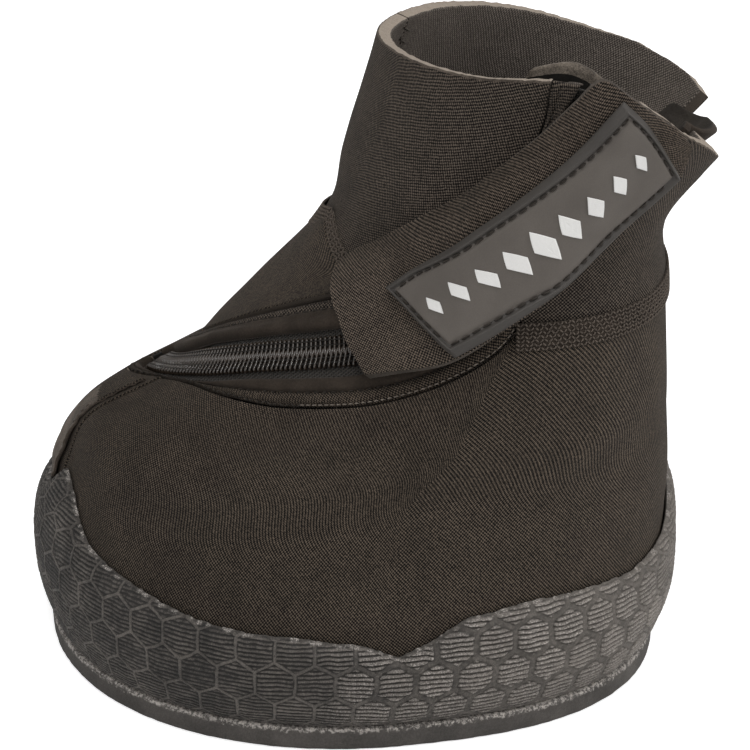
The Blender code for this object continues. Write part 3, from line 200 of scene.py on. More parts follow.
# Collar
COLLAR_SEAM_TURN = radians(-38.0)
ROLL_START = 0.982
ROLL_RISE = 0.0002
ROLL_WIDTH = 0.004
CALM_WIDTH = 0.014
RIM_WANDER = 0.00014
NOTCH_TOP = 0.0135
NOTCH_FOOT = 0.0010
NOTCH_POWER = 1.6
FAR_NOTCH_POWER = 0.75
HEEL_BINDING_START = 0.945
HEEL_FLARE = 0.0065
FLARE_TURNS = (radians(180.0), radians(196.0), radians(240.0))
FLARE_POWER = 1.5
NEAR_FLARE = 0.0032
NEAR_FLARE_TURNS = (radians(126), radians(156))
NEAR_FLARE_HEIGHTS = (0.110, 0.1235)
GUSSET_HALF = 0.0150
GUSSET_FOOT_RISE = 0.004
GUSSET_TOP_RISE = 0.0035
GUSSET_SHOULDER = 0.0026
GUSSET_NEAR_SHOULDER = 0.0025
GUSSET_SHOULDER_POWER = 2.2
GUSSET_THICKNESS = 0.0022
GUSSET_BULGE = 0.0092
GUSSET_BULGE_MARGIN = 0.0008
BAND_WIDTH = 0.0065
BAND_END = 0.0012
BAND_LEVEL = 0.0005
BAND_ROWS = 7
SIDE_BAND_TURN = radians(85.2)

# Zip
ZIP_END_TURN = radians(-24.0)
FACING_THICKNESS = 0.0026
FACING_EDGE = 0.0010
FRONT_SLOT = 0.0057
SIDE_SLOT = 0.0066
SLOT_START = 0.0012
SLOT_ROUND = 0.028
FRONT_ROW = 0.66
FACING_KNIT_SHARE = 0.80
SIDE_GROOVE = 0.50
ZIP_TAPE_HALF = 0.0088
ZIP_TAPE_THICKNESS = 0.0005
ZIP_TAPE_START = 0.007
ZIP_TOP_MARGIN = 0.0015
TAPE_ROOM_SHARE = 0.65
TAPE_TOP = -(FACING_THICKNESS + TOUCH_GAP)
CHAIN_FOOT = TAPE_TOP + TOUCH_GAP
CHAIN_START = 0.0045
CHAIN_SPLIT = 0.00015
CHAIN_OPEN = 0.0014
STOP_LENGTH = 0.0030
SLIDER_PLACE = 0.0118
SLIDER_LENGTH = 0.0120
COIL_PITCH = 0.0013
COIL_RADIUS = 0.00032
# Places across each coil in millimetres, height over the chain's foot, and radius
CORD_PLACES = (0.75, 1.45, 2.15, 2.85)
CORD_HEIGHT = 0.00095
CORD_RADIUS = 0.00044
THREAD_PLACES = (1.55, 2.85)
THREAD_HEIGHT = 0.00172
THREAD_DIP = 0.00012
THREAD_RADIUS = 0.00015
GUARD_THICKNESS = 0.0028
GUARD_SEWN_EDGE = 0.0125
GUARD_FREE_EDGE = 0.0085
GUARD_DROP = 0.0024
GUARD_START = 0.036
GUARD_FLARE = 0.026
GUARD_TOP_EDGE = 0.0225
GUARD_BOW = 0.0058
GUARD_PALE_ROWS = 5

# Strap and badge: the badge's levels are a distance from its edge and a height, in millimetres
STRAP_THICKNESS = 0.0030
STRAP_LOW = 0.0027
STRAP_HIGH = 0.0040
STRAP_RISE = (radians(56.0), radians(66.0))
STRAP_DROP = (radians(87.0), radians(105.0))
PATCH_GAP = 0.0005
PATCH_THICKNESS = 0.0008
BADGE_GAP = 0.0008
BADGE_LENGTH = 0.080
BADGE_WIDTH = 0.019
BADGE_LEVELS = (
    (0.00, 0.35), (0.12, 0.62), (0.95, 2.10), (1.12, 2.32), (1.32, 2.32), (1.50, 2.12), (1.68, 1.70), (1.90, 1.50),
    (2.22, 1.50), (2.45, 1.72), (2.70, 1.95), (3.20, 2.00), (60.0, 2.00),
)
BADGE_FIELD_START = 4.0
BADGE_GROOVE = 2.06
BADGE_STITCH_LEVEL = 0.00165
ORNAMENTS = 4
ORNAMENT_SIZE = 0.0037
ORNAMENT_WIDE = 0.85
ORNAMENT_STEP = 0.100
ORNAMENT_SIDES = 32
ORNAMENT_RISE = 0.00040
ORNAMENT_FOOT = 0.00003

# Counts of points along the lines that shape the pieces
EDGE_POINTS = 161
LINE_POINTS = 60
STITCH_POINTS = 7
STITCH_RADIUS = 0.00021


def column_of(table, index):
    return np.array([row[index] for row in table], float)


def smooth(value, places, levels):
    value = np.clip(value, places[0], places[-1])
    left = np.clip(np.searchsorted(places, value, side="right") - 1, 0, len(places) - 2)
    width = places[left + 1] - places[left]
    share = (value - places[left]) / width
    slopes = np.gradient(levels, places)
    square = share * share
    cube = square * share
    start = (2 * cube - 3 * square + 1) * levels[left] + (cube - 2 * square + share) * width * slopes[left]
    end = (3 * square - 2 * cube) * levels[left + 1] + (cube - square) * width * slopes[left + 1]
    return start + end


def step(value, start=0.0, end=1.0):
    """A soft step from 0 to 1 between start and end."""
    share = np.clip((value - start) / (end - start), 0, 1)
    return share * share * (3 - 2 * share)


def section(height):
    share = np.asarray(height, float) / COLLAR_HEIGHT
    places = column_of(FORM, 0)
    toe = -smooth(share, places, column_of(FORM, 1)) * SOLE_LENGTH / 2
    heel = smooth(share, places, column_of(FORM, 2)) * SOLE_LENGTH / 2
    half = smooth(share, places, column_of(FORM, 3)) * SOLE_WIDTH / 2
    return toe, heel, half, smooth(share, places, column_of(FORM, 4)), smooth(share, places, column_of(FORM, 5))


def on_form(angle, height):
    angle, height = np.broadcast_arrays(np.asarray(angle, float), np.asarray(height, float))
    toe, heel, half, toe_full, heel_full = section(height)
    full = 1 + np.where(np.cos(angle) > 0, toe_full, heel_full) * np.sin(2 * angle) ** 2
    across = half * np.sin(angle) * full
    along = (toe + heel) / 2 - (heel - toe) / 2 * np.cos(angle) * full
    return np.stack([across, along, height], -1)


def outward(angle, height):
    turn = 1e-4
    rise = COLLAR_HEIGHT * turn
    round_boot = on_form(angle + turn, height) - on_form(angle - turn, height)
    up_boot = on_form(angle, height + rise) - on_form(angle, height - rise)
    square = np.cross(round_boot, up_boot)
    return square / np.linalg.norm(square, axis=-1, keepdims=True)


def at_depth(angle, height, depth):
    return on_form(angle, height) + outward(angle, height) * np.asarray(depth, float)[..., None]


def angle_at(across, height):
    return across / section(height)[2]


def heel_angle_at(across, height):
    return pi - angle_at(across, height)


def places_of(table):
    return np.radians(column_of(table, 0)), column_of(table, 1) * COLLAR_HEIGHT


def rim_height(angle):
    return smooth(angle, *places_of(RIM))


def seam_height(angle):
    return smooth(np.abs(angle), *places_of(SEAM))


def rand_top(angle):
    """The rand's top edge. Its toe notch turns a little to the far side, where the edge stays level."""
    turned = angle - TOE_TURN * (1 - step(np.abs(angle), *TOE_TURN_ENDS))
    top = np.interp(np.abs(turned), *places_of(RAND_TOP))
    far = np.maximum(FAR_RAND_TOP, RAND_HEEL_TOP * step(-turned, *RAND_HEEL_TURNS))
    return np.where(turned < 0, np.minimum(top, far), top)


def pairs(angles, heights):
    return np.stack(np.broadcast_arrays(angles, heights), -1)


def hump(distance, width):
    """1 at no distance, falling off smoothly over a few widths."""
    return np.exp(-(distance / width) ** 2)


def trace(table, count=400):
    angles, heights = places_of(table)
    steps = np.arange(len(angles), dtype=float)
    wanted = np.linspace(0, len(angles) - 1, count)
    return pairs(smooth(wanted, steps, angles), smooth(wanted, steps, heights))


def line_lengths(line):
    points = on_form(*line.T)
    return np.concatenate([[0], np.cumsum(np.linalg.norm(np.diff(points, axis=0), axis=1))])


def at_lengths(line, wanted, other=None):
    """Places at distances along a line, on it or on another line of the same count."""
    other = line if other is None else other
    lengths = line_lengths(line)
    return pairs(np.interp(wanted, lengths, other[:, 0]), np.interp(wanted, lengths, other[:, 1]))


def at_shares(line, shares):
    return at_lengths(line, shares * line_lengths(line)[-1])


def beside(line, distance):
    points = on_form(line[:, 0], line[:, 1])
    ahead = np.gradient(points, axis=0)
    ahead = ahead / np.linalg.norm(ahead, axis=1, keepdims=True)
    side = np.cross(outward(line[:, 0], line[:, 1]), ahead)
    moved = points + side * np.broadcast_to(distance, len(line))[:, None]
    toe, heel, half, _, _ = section(moved[:, 2])
    angles = np.arctan2(moved[:, 0] / half, ((toe + heel) / 2 - moved[:, 1]) / ((heel - toe) / 2))
    return np.stack([angles, moved[:, 2]], -1)


def zip_route(start, end, count):
    line = trace(ZIP_ROUTE)
    lengths = line_lengths(line)
    wanted = np.linspace(start, end, count)
    beyond = np.maximum(wanted - lengths[-1], 0)
    return np.stack([np.interp(wanted, lengths, line[:, 0]), np.interp(wanted, lengths, line[:, 1]) + beyond], -1)


ZIP_LENGTH = line_lengths(trace(ZIP_ROUTE))[-1]


def patch(lower, rear, upper, front, along, up):
    """A grid between four lines that meet at their ends, at shares along and up."""
    lower, upper = at_shares(lower, along), at_shares(upper, along)
    rear, front = at_shares(rear, up), at_shares(front, up)
    along = along[None, :, None]
    up = up[:, None, None]
    ruled = (1 - up) * lower[None] + up * upper[None] + (1 - along) * front[:, None] + along * rear[:, None]
    corners = (1 - up) * ((1 - along) * lower[0] + along * lower[-1])
    return ruled - corners - up * ((1 - along) * upper[0] + along * upper[-1])


def ruled_patch(tables, along, up):
    """A grid at shares along and up between the smooth lines of four tables: lower, rear, upper and front."""
    lower, rear, upper, front = (trace(table, 200) for table in tables)
    return patch(lower, rear, upper, front, along, up)


def shares(count, length, edge=EDGE):
    """Shares of a length, closer together where both edges are rounded."""
    near = min(edge / length, 0.3) * np.array([0, 0.07, 0.25, 0.55, 1.0])
    middle = np.linspace(near[-1], 1 - near[-1], count)[1:-1]
    return np.concatenate([near, middle, 1 - near[::-1]])


def noise(across, along, seed=0.0):
    """Smooth random values from -1 to 1, one swing per unit, the same on every run."""
    across, along = np.broadcast_arrays(np.asarray(across, float), np.asarray(along, float))
    left, low = np.floor(across), np.floor(along)
    x, y = step(across - left), step(along - low)

    def corner(shift_x, shift_y):
        value = np.sin((left + shift_x) * 127.1 + (low + shift_y) * 311.7 + seed * 74.7) * 43758.5453
        return value - np.floor(value)

    lower = corner(0, 0) * (1 - x) + corner(1, 0) * x
    upper = corner(0, 1) * (1 - x) + corner(1, 1) * x
    return 2 * (lower * (1 - y) + upper * y) - 1


# ---------------------------------------------------------------- meshes
def mesh_object(name, points, faces, materials, uv=None, slots=None, relief=None):
    """A mesh of four-sided faces, shaded smooth. relief is a height in millimetres that a material can read."""
    faces = np.asarray(faces, np.int32)
    mesh = bpy.data.meshes.new(name)
    mesh.vertices.add(len(points))
    mesh.vertices.foreach_set("co", np.asarray(points, np.float32).ravel())
    mesh.loops.add(faces.size)
    mesh.loops.foreach_set("vertex_index", faces.ravel())
    mesh.polygons.add(len(faces))
    mesh.polygons.foreach_set("loop_start", np.arange(0, faces.size, 4, dtype=np.int32))
    if slots is not None:
        mesh.polygons.foreach_set("material_index", np.asarray(slots, np.int32))
    for surface in materials:
        mesh.materials.append(surface)
    mesh.update(calc_edges=True)
    for label, values in (("weave", uv), ("relief", relief)):
        if values is not None:
            layer = mesh.uv_layers.new(name=label)
            layer.uv.foreach_set("vector", np.asarray(values, np.float32)[faces.ravel()].ravel())
    mesh.shade_smooth()
    made = bpy.data.objects.new(name, mesh)
    bpy.context.scene.collection.objects.link(made)
    return made


def ring_faces(count, columns, closed=False):
    """Faces between one ring of points and the next, and from the last to the first if closed."""
    level, index = np.meshgrid(np.arange(count if closed else count - 1), np.arange(columns), indexing="ij")
    above, after = (level + 1) % count, (index + 1) % columns
    corners = ((level, index), (level, after), (above, after), (above, index))
    return np.stack([ring * columns + place for ring, place in corners], -1).reshape(-1, 4)


def finish_piece(made, body, stands_for=()):
    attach(made, body)
    if stands_for:
        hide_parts(*stands_for)
    return made


def grid_cells(rows, columns, keep=None):
    if keep is None:
        keep = np.ones((rows - 1, columns - 1), bool)
    row, column = np.nonzero(keep)
    first = row * columns + column
    return np.stack([first, first + 1, first + columns + 1, first + columns], -1), row, column


def closed_sheet(outer, inner, keep=None):
    """Points, faces and face kinds (0 outer, 1 inner, 2 edge) of a body between two skins."""
    rows, columns = outer.shape[:2]
    count = rows * columns
    cells, _, _ = grid_cells(rows, columns, keep)
    sides = np.concatenate([cells[:, [0, 1]], cells[:, [1, 2]], cells[:, [2, 3]], cells[:, [3, 0]]])
    key = np.minimum(sides[:, 0], sides[:, 1]) * count + np.maximum(sides[:, 0], sides[:, 1])
    _, first, times = np.unique(key, return_index=True, return_counts=True)
    rim = sides[first[times == 1]]
    walls = np.stack([rim[:, 1], rim[:, 0], rim[:, 0] + count, rim[:, 1] + count], -1)
    faces = np.concatenate([cells, cells[:, ::-1] + count, walls])
    kinds = np.repeat([0, 1, 2], [len(cells), len(cells), len(walls)])
    points = np.concatenate([outer.reshape(-1, 3), inner.reshape(-1, 3)])
    used = np.unique(faces)
    place = np.full(2 * count, -1)
    place[used] = np.arange(len(used))
    return points[used], place[faces], kinds, used


def lengths_along(points, axis):
    stride = np.linalg.norm(np.diff(points, axis=axis), axis=-1)
    total = np.cumsum(stride, axis=axis)
    return np.concatenate([np.zeros_like(np.take(total, [0], axis=axis)), total], axis=axis)


def edge_drop(distance, radius):
    inside = np.clip(1 - distance / radius, 0, 1)
    return radius * (1 - np.sqrt(np.clip(1 - inside ** 2, 0, 1)))


def from_edges(along, up):
    """Distance to the nearest of a grid's four edges."""
    return np.minimum.reduce([along, along[:, -1:] - along, up, up[-1:] - up])


def panel(name, grid, materials, slot, stands_for=(), body="boot", outer=0.0, thickness=NEOPRENE, edge=EDGE,
          relief=None, inner_relief=None, keep=None, distance=None, split=None):
    """A sewn piece with rounded edges. materials are outer face, inner face and cut edge, then any split face."""
    angles, heights = grid[..., 0], grid[..., 1]
    base = on_form(angles, heights)
    square = outward(angles, heights)
    along, up = lengths_along(base, 1), lengths_along(base, 0)
    rows, columns = angles.shape
    near = from_edges(along, up) if distance is None else distance(along, up)
    drop = edge_drop(near, edge)
    middle = columns // 2
    across = along - along[:, middle:middle + 1] + along[0, middle]
    uv = np.stack([across, up], -1) / MM
    raised = np.zeros_like(angles) if relief is None else relief(across / MM, up / MM, angles, heights)
    lowered = np.zeros_like(angles) if inner_relief is None else inner_relief(across / MM, up / MM, angles, heights)
    top = np.broadcast_to(outer, angles.shape)
    outer_skin = base + square * (top + raised - drop)[..., None]
    inner_skin = base + square * (top - thickness + lowered + drop)[..., None]
    points, faces, kinds, used = closed_sheet(outer_skin, inner_skin, keep)
    if split is not None:
        cells, row, column = grid_cells(rows, columns, keep)
        kinds[:len(cells)] = np.where(split(row, column), 3, 0)
    flat = np.concatenate([uv.reshape(-1, 2), uv.reshape(-1, 2)])[used]
    made = mesh_object(name, points, faces, materials, flat, kinds)
    return finish_piece(made, body, stands_for)


def tube_mesh(lines, radius, up=None, sides=6):
    """Closed tubes along lines, an array of line by point by place. up keeps the rings from twisting."""
    lines = np.asarray(lines, float)
    count, steps, _ = lines.shape
    ahead = np.gradient(lines, axis=1)
    ahead /= np.linalg.norm(ahead, axis=-1, keepdims=True) + 1e-12
    side = np.cross(ahead, np.broadcast_to(up, lines.shape))
    side /= np.linalg.norm(side, axis=-1, keepdims=True) + 1e-12
    rise = np.cross(side, ahead)
    turn = np.linspace(0, 2 * pi, sides, endpoint=False)
    radius = np.broadcast_to(radius, (count, steps))[..., None, None]
    ring = lines[:, :, None] + radius * (
        np.cos(turn)[None, None, :, None] * side[:, :, None] + np.sin(turn)[None, None, :, None] * rise[:, :, None])
    first = (np.arange(count)[:, None, None] * steps + np.arange(steps - 1)[None, :, None]) * sides
    here = np.arange(sides)[None, None]
    after = (here + 1) % sides
    walls = np.stack([first + here, first + after, first + sides + after, first + sides + here], -1).reshape(-1, 4)
    caps = []
    for corner in range(1, sides - 2, 2):
        fan = np.array([0, corner, corner + 1, corner + 2])
        caps.append(np.arange(count)[:, None] * steps * sides + fan[::-1])
        caps.append(np.arange(count)[:, None] * steps * sides + (steps - 1) * sides + fan)
    faces = np.concatenate([walls[:, ::-1], *[cap[:, ::-1] for cap in caps]])
    return ring.reshape(-1, 3), faces


def tubes(name, groups, surface, body="boot", sides=6, stands_for=()):
    """One object from several groups of tubes, each (lines, radius, up)."""
    points, faces, count = [], [], 0
    for lines, radius, up in groups:
        ring, quads = tube_mesh(lines, radius, up, sides)
        points.append(ring)
        faces.append(quads + count)
        count += len(ring)
    made = mesh_object(name, np.concatenate(points), np.concatenate(faces), [surface])
    return finish_piece(made, body, stands_for)


def stitch_row(line, pitch, share=0.74, swing=0.0, depth=0.0, lift=0.00030, radius=STITCH_RADIUS, offset=0.0):
    """Threads that come up out of the cloth and go down again, straight or leaning from side to side by swing."""
    count = int(line_lengths(line)[-1] / pitch)
    part = np.linspace(0, 1, STITCH_POINTS)
    along = ((np.arange(count) + (1 - share) / 2) * pitch)[:, None] + part * share * pitch
    low, high = beside(line, offset - swing), beside(line, offset + swing)
    if swing:
        lean = np.where(np.arange(count) % 2, part[:, None], 1 - part[:, None]).T[..., None]
        place = at_lengths(line, along, low) * (1 - lean) + at_lengths(line, along, high) * lean
    else:
        place = at_lengths(line, along, low if offset else line)
    angles, heights = place[..., 0], place[..., 1]
    level = depth(angles, heights) if callable(depth) else depth
    rise = lift * (2.2 * np.sin(pi * part) ** 0.6 - 1.2)
    return at_depth(angles, heights, level + rise), radius, outward(angles, heights)


# ---------------------------------------------------------------- materials
class Value:
    """A node's output, which adds, subtracts and multiplies as a number does."""

    def __init__(self, shader, socket):
        self.shader = shader
        self.socket = socket

    def __add__(self, other):
        return self.shader.math("ADD", self, other)

    def __sub__(self, other):
        return self.shader.math("SUBTRACT", self, other)

    def __rsub__(self, other):
        return self.shader.math("SUBTRACT", other, self)

    def __mul__(self, other):
        return self.shader.math("MULTIPLY", self, other)


class Shader:
    """A Principled material built from a few kinds of node."""

    inputs = {"specular": "Specular IOR Level", "sheen": "Sheen Weight", "sheen_roughness": "Sheen Roughness",
              "tint": "Sheen Tint", "metallic": "Metallic"}

    def __init__(self, name, roughness, **levels):
        self.material = bpy.data.materials.new(name)
        self.material.use_nodes = True
        self.tree = self.material.node_tree
        self.out = self.tree.nodes["Principled BSDF"]
        self.put(self.out.inputs["Roughness"], roughness)
        for key, value in levels.items():
            self.put(self.out.inputs[self.inputs[key]], value)

    def put(self, socket, value):
        if isinstance(value, Value):
            self.tree.links.new(value.socket, socket)
        elif socket.type == "RGBA":
            socket.default_value = (*value, 1)
        else:
            socket.default_value = value

    def node(self, kind, inputs, output=0, **settings):
        """One output of a new node, after its settings and inputs are set."""
        made = self.tree.nodes.new("ShaderNode" + kind)
        for key, value in settings.items():
            setattr(made, key, value)
        for key, value in inputs.items():
            self.put(made.inputs[key], value)
        return Value(self, made.outputs[output])

    def math(self, operation, first, second=0.0):
        return self.node("Math", {0: first, 1: second}, operation=operation)

    def split(self, vector):
        parts = self.tree.nodes.new("ShaderNodeSeparateXYZ")
        self.put(parts.inputs[0], vector)
        return [Value(self, socket) for socket in parts.outputs]

    def uv(self, layer):
        return self.split(self.node("UVMap", {}, uv_map=layer))[:2]

    def place(self):
        """Object coordinates in millimetres."""
        return self.node("VectorMath", {0: self.node("TexCoord", {}, "Object"), "Scale": 1 / MM}, operation="SCALE")

    def noise(self, size, detail=2.0, roughness=0.5):
        inputs = {"Vector": self.place(), "Scale": 1 / size, "Detail": detail, "Roughness": roughness}
        return self.node("TexNoise", inputs, "Fac")

    def wave(self, across, along, turn, pitch):
        """A sine over lines that lean by turn, one line each pitch."""
        return self.math("SINE", across * (np.cos(turn) * 2 * pi / pitch) + along * (np.sin(turn) * 2 * pi / pitch))

    def between(self, value, low, high):
        """value spread so that low gives 0 and high gives 1."""
        inputs = {"Value": value, "From Min": low, "From Max": high}
        return self.node("MapRange", inputs, interpolation_type="SMOOTHSTEP")

    def mix(self, share, first, second):
        """A colour between two. The Mix node's colour inputs are its 6th and 7th, and its colour output its 2nd."""
        return self.node("Mix", {"Factor": share, 6: first, 7: second}, 2, data_type="RGBA")

    def finish(self, colour, height, rise, roughness=None):
        """The material, with its colour, a bump of a height that rises so far, and a roughness that varies."""
        self.put(self.out.inputs["Base Color"], colour)
        if roughness is not None:
            self.put(self.out.inputs["Roughness"], roughness)
        bump = self.node("Bump", {"Height": height, "Distance": rise, "Strength": 1.0})
        self.put(self.out.inputs["Normal"], bump)
        return self.material


def cloth(name, roughness, sheen, tint=(0.7, 0.62, 0.55)):
    return Shader(name, roughness, specular=0.2, sheen=sheen, sheen_roughness=0.4, tint=tint)


def knit(name, dark, light, pitch, turn=42, lean=5, cross=0.46, rise=0.00012, sheen=0.06, fleck=0.4):
    """Fine knit: small loops where two leaning waves meet, with slow patches, pale flecks where a thread shows, and
    painted light that makes it darker towards the toe and lighter towards the heel.
    """
    made = cloth(name, 0.9, sheen, (0.72, 0.64, 0.56))
    across, along = made.uv("weave")
    sway = (made.noise(3.6) - 0.5) * 0.34
    across, along = across + sway, along - sway
    turn, lean = radians(turn), radians(lean)
    ribs = made.wave(across, along, turn + lean, pitch)
    cut = made.wave(across, along, pi - turn + lean, pitch)
    loops = ribs * (1 - cross) + cut * cross
    uneven = (made.noise(0.5) - 0.5) * 1.9
    share = made.between(loops + uneven, -0.42, 0.92)
    patchy = made.noise(8.0, 3.0) * 0.9 + 0.55
    # Painted light: the knit is darkened towards the toe and left full towards the heel, where the light falls
    # stronger.
    lit_toward_heel = made.between(made.split(made.place())[1], -62.0, -12.0) * 0.26 + 0.74
    tone = made.mix(share * patchy * lit_toward_heel, dark, light)
    flecks = made.between(made.noise(0.42, 1.0), 0.66, 0.78) * share
    pale = tuple(min(1.0, value * 2.4) for value in light)
    return made.finish(made.mix(flecks * fleck, tone, pale), loops + uneven, rise)


def cut_edge_with_painted_shade(name, low, high):
    """The cut edge of the neoprene: pale and fuzzy where it faces up, and darkened with painted shade where it is
    turned away from the light above.
    """
    made = cloth(name, 0.92, 0.1)
    # Painted shade: the edge's colour falls to the dark one as its normal turns down, away from the light above.
    up = made.between(made.split(made.node("TexCoord", {}, "Normal"))[2], 0.05, 0.65)
    fuzz = made.noise(0.5, 4.0, 0.8)
    return made.finish(made.mix(up * (fuzz * 1.1 + 0.35), low, high), fuzz, 0.00025)


def suede(name, dark, light, grain=0.5, rise=0.00010, sheen=0.3, roughness=0.92):
    made = cloth(name, roughness, sheen)
    fine = made.noise(grain, 4.0, 0.7)
    share = made.between(fine * 0.6 + made.noise(6.0, 3.0) * 0.5, 0.35, 0.8)
    return made.finish(made.mix(share, dark, light), fine, rise)


def grained(made, grain, dark, light):
    """The colour and the fine grain of moulded rubber."""
    fine = made.noise(grain, 5.0, 0.75)
    share = made.between(fine * 0.55 + made.noise(9.0, 3.0) * 0.5, 0.30, 0.80)
    return made.mix(share, dark, light), fine


def rubber(name, dark, light, roughness=0.5, grain=0.45, rise=0.00010, specular=0.5):
    made = Shader(name, roughness, specular=specular)
    tone, fine = grained(made, grain, dark, light)
    return made.finish(tone, fine, rise, fine * 0.3 + (roughness - 0.15))


def thread(name, dark, light):
    made = Shader(name, 0.75, specular=0.25, sheen=0.05)
    return made.finish(made.mix(made.noise(0.6), dark, light), made.noise(0.25), 0.00006)


def gunmetal():
    made = Shader("dark metal", 0.32, metallic=1.0)
    wear = made.noise(1.3, 4.0)
    tone = made.mix(made.between(wear, 0.45, 0.75), (0.045, 0.043, 0.042), (0.11, 0.105, 0.10))
    return made.finish(tone, made.noise(0.4), 0.00002, wear * 0.25 + 0.22)


def rand_rubber():
    """Dusty moulded rubber: painted shade darkens the recesses and the ridges are pale; the bold ribs and the top
    edge are polished and carry painted glints; painted light makes it paler towards the heel.
    """
    made = Shader("rand rubber", 0.5)
    height, glint = made.uv("relief")
    fine = made.noise(0.32, 5.0, 0.85)
    ridge = made.between(height + (fine - 0.5) * 0.40, 0.06, 0.38)
    dust = made.between(fine * 0.6 + made.noise(7.0, 3.0) * 0.4, 0.38, 0.66)
    # low is the recess colour, darkened as painted shade; high is the colour of the ridges.
    low = made.mix(dust, (0.008, 0.007, 0.006), (0.030, 0.026, 0.0225))
    high = made.mix(dust, (0.056, 0.049, 0.0425), (0.185, 0.163, 0.143))
    spark = made.between(made.noise(0.38, 3.0, 0.8), 0.47, 0.60)
    # Painted glints: near-white spots where the relief's second value marks glints.
    tone = made.mix(glint * (spark * 0.94 + 0.06), made.mix(ridge, low, high), (0.60, 0.55, 0.505))
    # Painted light: the rubber turns paler towards the heel, where the light falls stronger.
    behind = made.between(made.split(made.place())[1], -45.0, 85.0)
    polish = made.math("MAXIMUM", glint * 0.30, ridge * spark * 0.26)
    return made.finish(made.mix(behind * 0.21, tone, (0.42, 0.37, 0.32)), fine, 0.00030, 0.62 - polish)


def sole_rubber():
    """Matt rubber, paler and rougher along the worn top edge of the lip, with painted highlights in spots along it.
    """
    made = Shader("sole rubber", 0.62, specular=0.4)
    tone, fine = grained(made, 0.5, (0.044, 0.039, 0.035), (0.124, 0.111, 0.100))
    ragged_edge = (made.noise(1.6, 4.0, 0.7) - 0.5) * 3.2
    worn = made.between(made.split(made.place())[2] + ragged_edge, 4.6, 5.7)
    tone = made.mix(worn * 0.6, tone, (0.150, 0.136, 0.125))
    # Painted highlights: near-white spots along the worn band.
    edge_glints = worn * made.between(made.noise(0.8, 3.0, 0.8), 0.44, 0.58)
    return made.finish(made.mix(edge_glints * 0.8, tone, (0.62, 0.57, 0.52)), fine, 0.00030, 0.66 - edge_glints * 0.35)


def zip_cloth():
    """Woven zip tape: a herringbone that leans both ways from its middle."""
    made = Shader("zip tape", 0.8, specular=0.3, sheen=0.15)
    weft, warp = (made.wave(*made.uv("weave"), radians(turn), 0.75) for turn in (55, -55))
    weave = made.math("MAXIMUM", weft, warp)
    tone = made.mix(made.between(weave, -0.2, 0.9), (0.014, 0.012, 0.010), (0.060, 0.052, 0.044))
    return made.finish(tone, weave, 0.00018)


def pile(name, dark, light, size, rise):
    """Hook or loop tape: close small tufts."""
    made = Shader(name, 0.85, specular=0.3, sheen=0.2)
    far = made.node("TexVoronoi", {"Vector": made.place(), "Scale": 1 / size}, "Distance")
    return made.finish(made.mix(made.between(far, 0.1, 0.6), light, dark), 1.0 - far, rise)


CUP_KNIT = knit("cup knit", (0.0026, 0.0019, 0.0014), (0.134, 0.1035, 0.077), 0.60)
COLLAR_KNIT = knit("collar knit", (0.004, 0.0031, 0.0024), (0.132, 0.105, 0.083), 0.64, 48, -8, 0.50)
STRAP_KNIT = knit("strap knit", (0.004, 0.0031, 0.0024), (0.182, 0.142, 0.109), 0.58, 44, 8, 0.50, 0.00014)
LINING = knit("lining mesh", (0.046, 0.039, 0.033), (0.205, 0.174, 0.149), 0.62, 35, rise=0.00010, sheen=0.05,
              fleck=0.2)
CUT_EDGE = cut_edge_with_painted_shade("cut neoprene", (0.062, 0.050, 0.040), (0.360, 0.304, 0.250))
STRAP_EDGE = suede("strap edge", (0.030, 0.0245, 0.020), (0.105, 0.086, 0.070), 0.5, 0.00014, 0.08)
RIM_KNIT = suede("rolled rim", (0.034, 0.027, 0.0215), (0.150, 0.122, 0.098), 0.45, 0.00016, 0.08)
BRUSHED = suede("brushed edge", (0.034, 0.0275, 0.0225), (0.250, 0.210, 0.170), 0.45, 0.00040, 0.1)
# Near black: painted shade on the guard's outer face, where the hollow under the rim lies in shadow.
HOLLOW_SHADE = suede("guard face painted shade", (0.0035, 0.003, 0.0025), (0.012, 0.010, 0.0082), sheen=0.02)
CORD = suede("filler cord", (0.003, 0.0025, 0.002), (0.010, 0.0085, 0.007), 0.4, sheen=0.0)
SUEDE = suede("turned facing", (0.020, 0.015, 0.0112), (0.050, 0.038, 0.029), sheen=0.12)
INNER_CLOTH = suede("gusset face", (0.020, 0.017, 0.0142), (0.046, 0.0395, 0.033), sheen=0.05)
TOE_CLOTH = suede("toe tape", (0.030, 0.0235, 0.0185), (0.170, 0.138, 0.112), 0.5, 0.00018, 0.1, 0.7)
THREAD = thread("thread", (0.012, 0.0095, 0.0075), (0.046, 0.037, 0.029))
COIL_THREAD = thread("coil thread", (0.006, 0.005, 0.004), (0.020, 0.0165, 0.0135))
SEAM_THREAD = thread("seam thread", (0.026, 0.0205, 0.0158), (0.165, 0.131, 0.104))
EDGE_THREAD = thread("edge thread", (0.070, 0.058, 0.048), (0.290, 0.245, 0.205))
PALE_THREAD = thread("stitch thread", (0.030, 0.024, 0.019), (0.095, 0.077, 0.062))
BADGE_RUBBER = rubber("badge field", (0.092, 0.080, 0.070), (0.128, 0.112, 0.098), 0.62, 0.3, 0.00003, 0.3)
BADGE_BORDER = rubber("badge border", (0.044, 0.039, 0.0345), (0.068, 0.0605, 0.054), 0.50, 0.3, 0.00003, 0.35)
BADGE_PRINT = rubber("badge ornament", (0.70, 0.69, 0.67), (0.80, 0.79, 0.77), 0.55, 0.3, 0.00002, 0.3)
COIL = rubber("zip nylon", (0.026, 0.0186, 0.0132), (0.056, 0.0405, 0.029), 0.20, 0.4, 0.00002, 0.9)
FOAM = suede("pad foam", (0.050, 0.046, 0.042), (0.085, 0.078, 0.070), 0.7)
BOARD = suede("fibre board", (0.060, 0.050, 0.040), (0.100, 0.085, 0.068), 0.9, 0.00005, 0.05)
METAL = gunmetal()
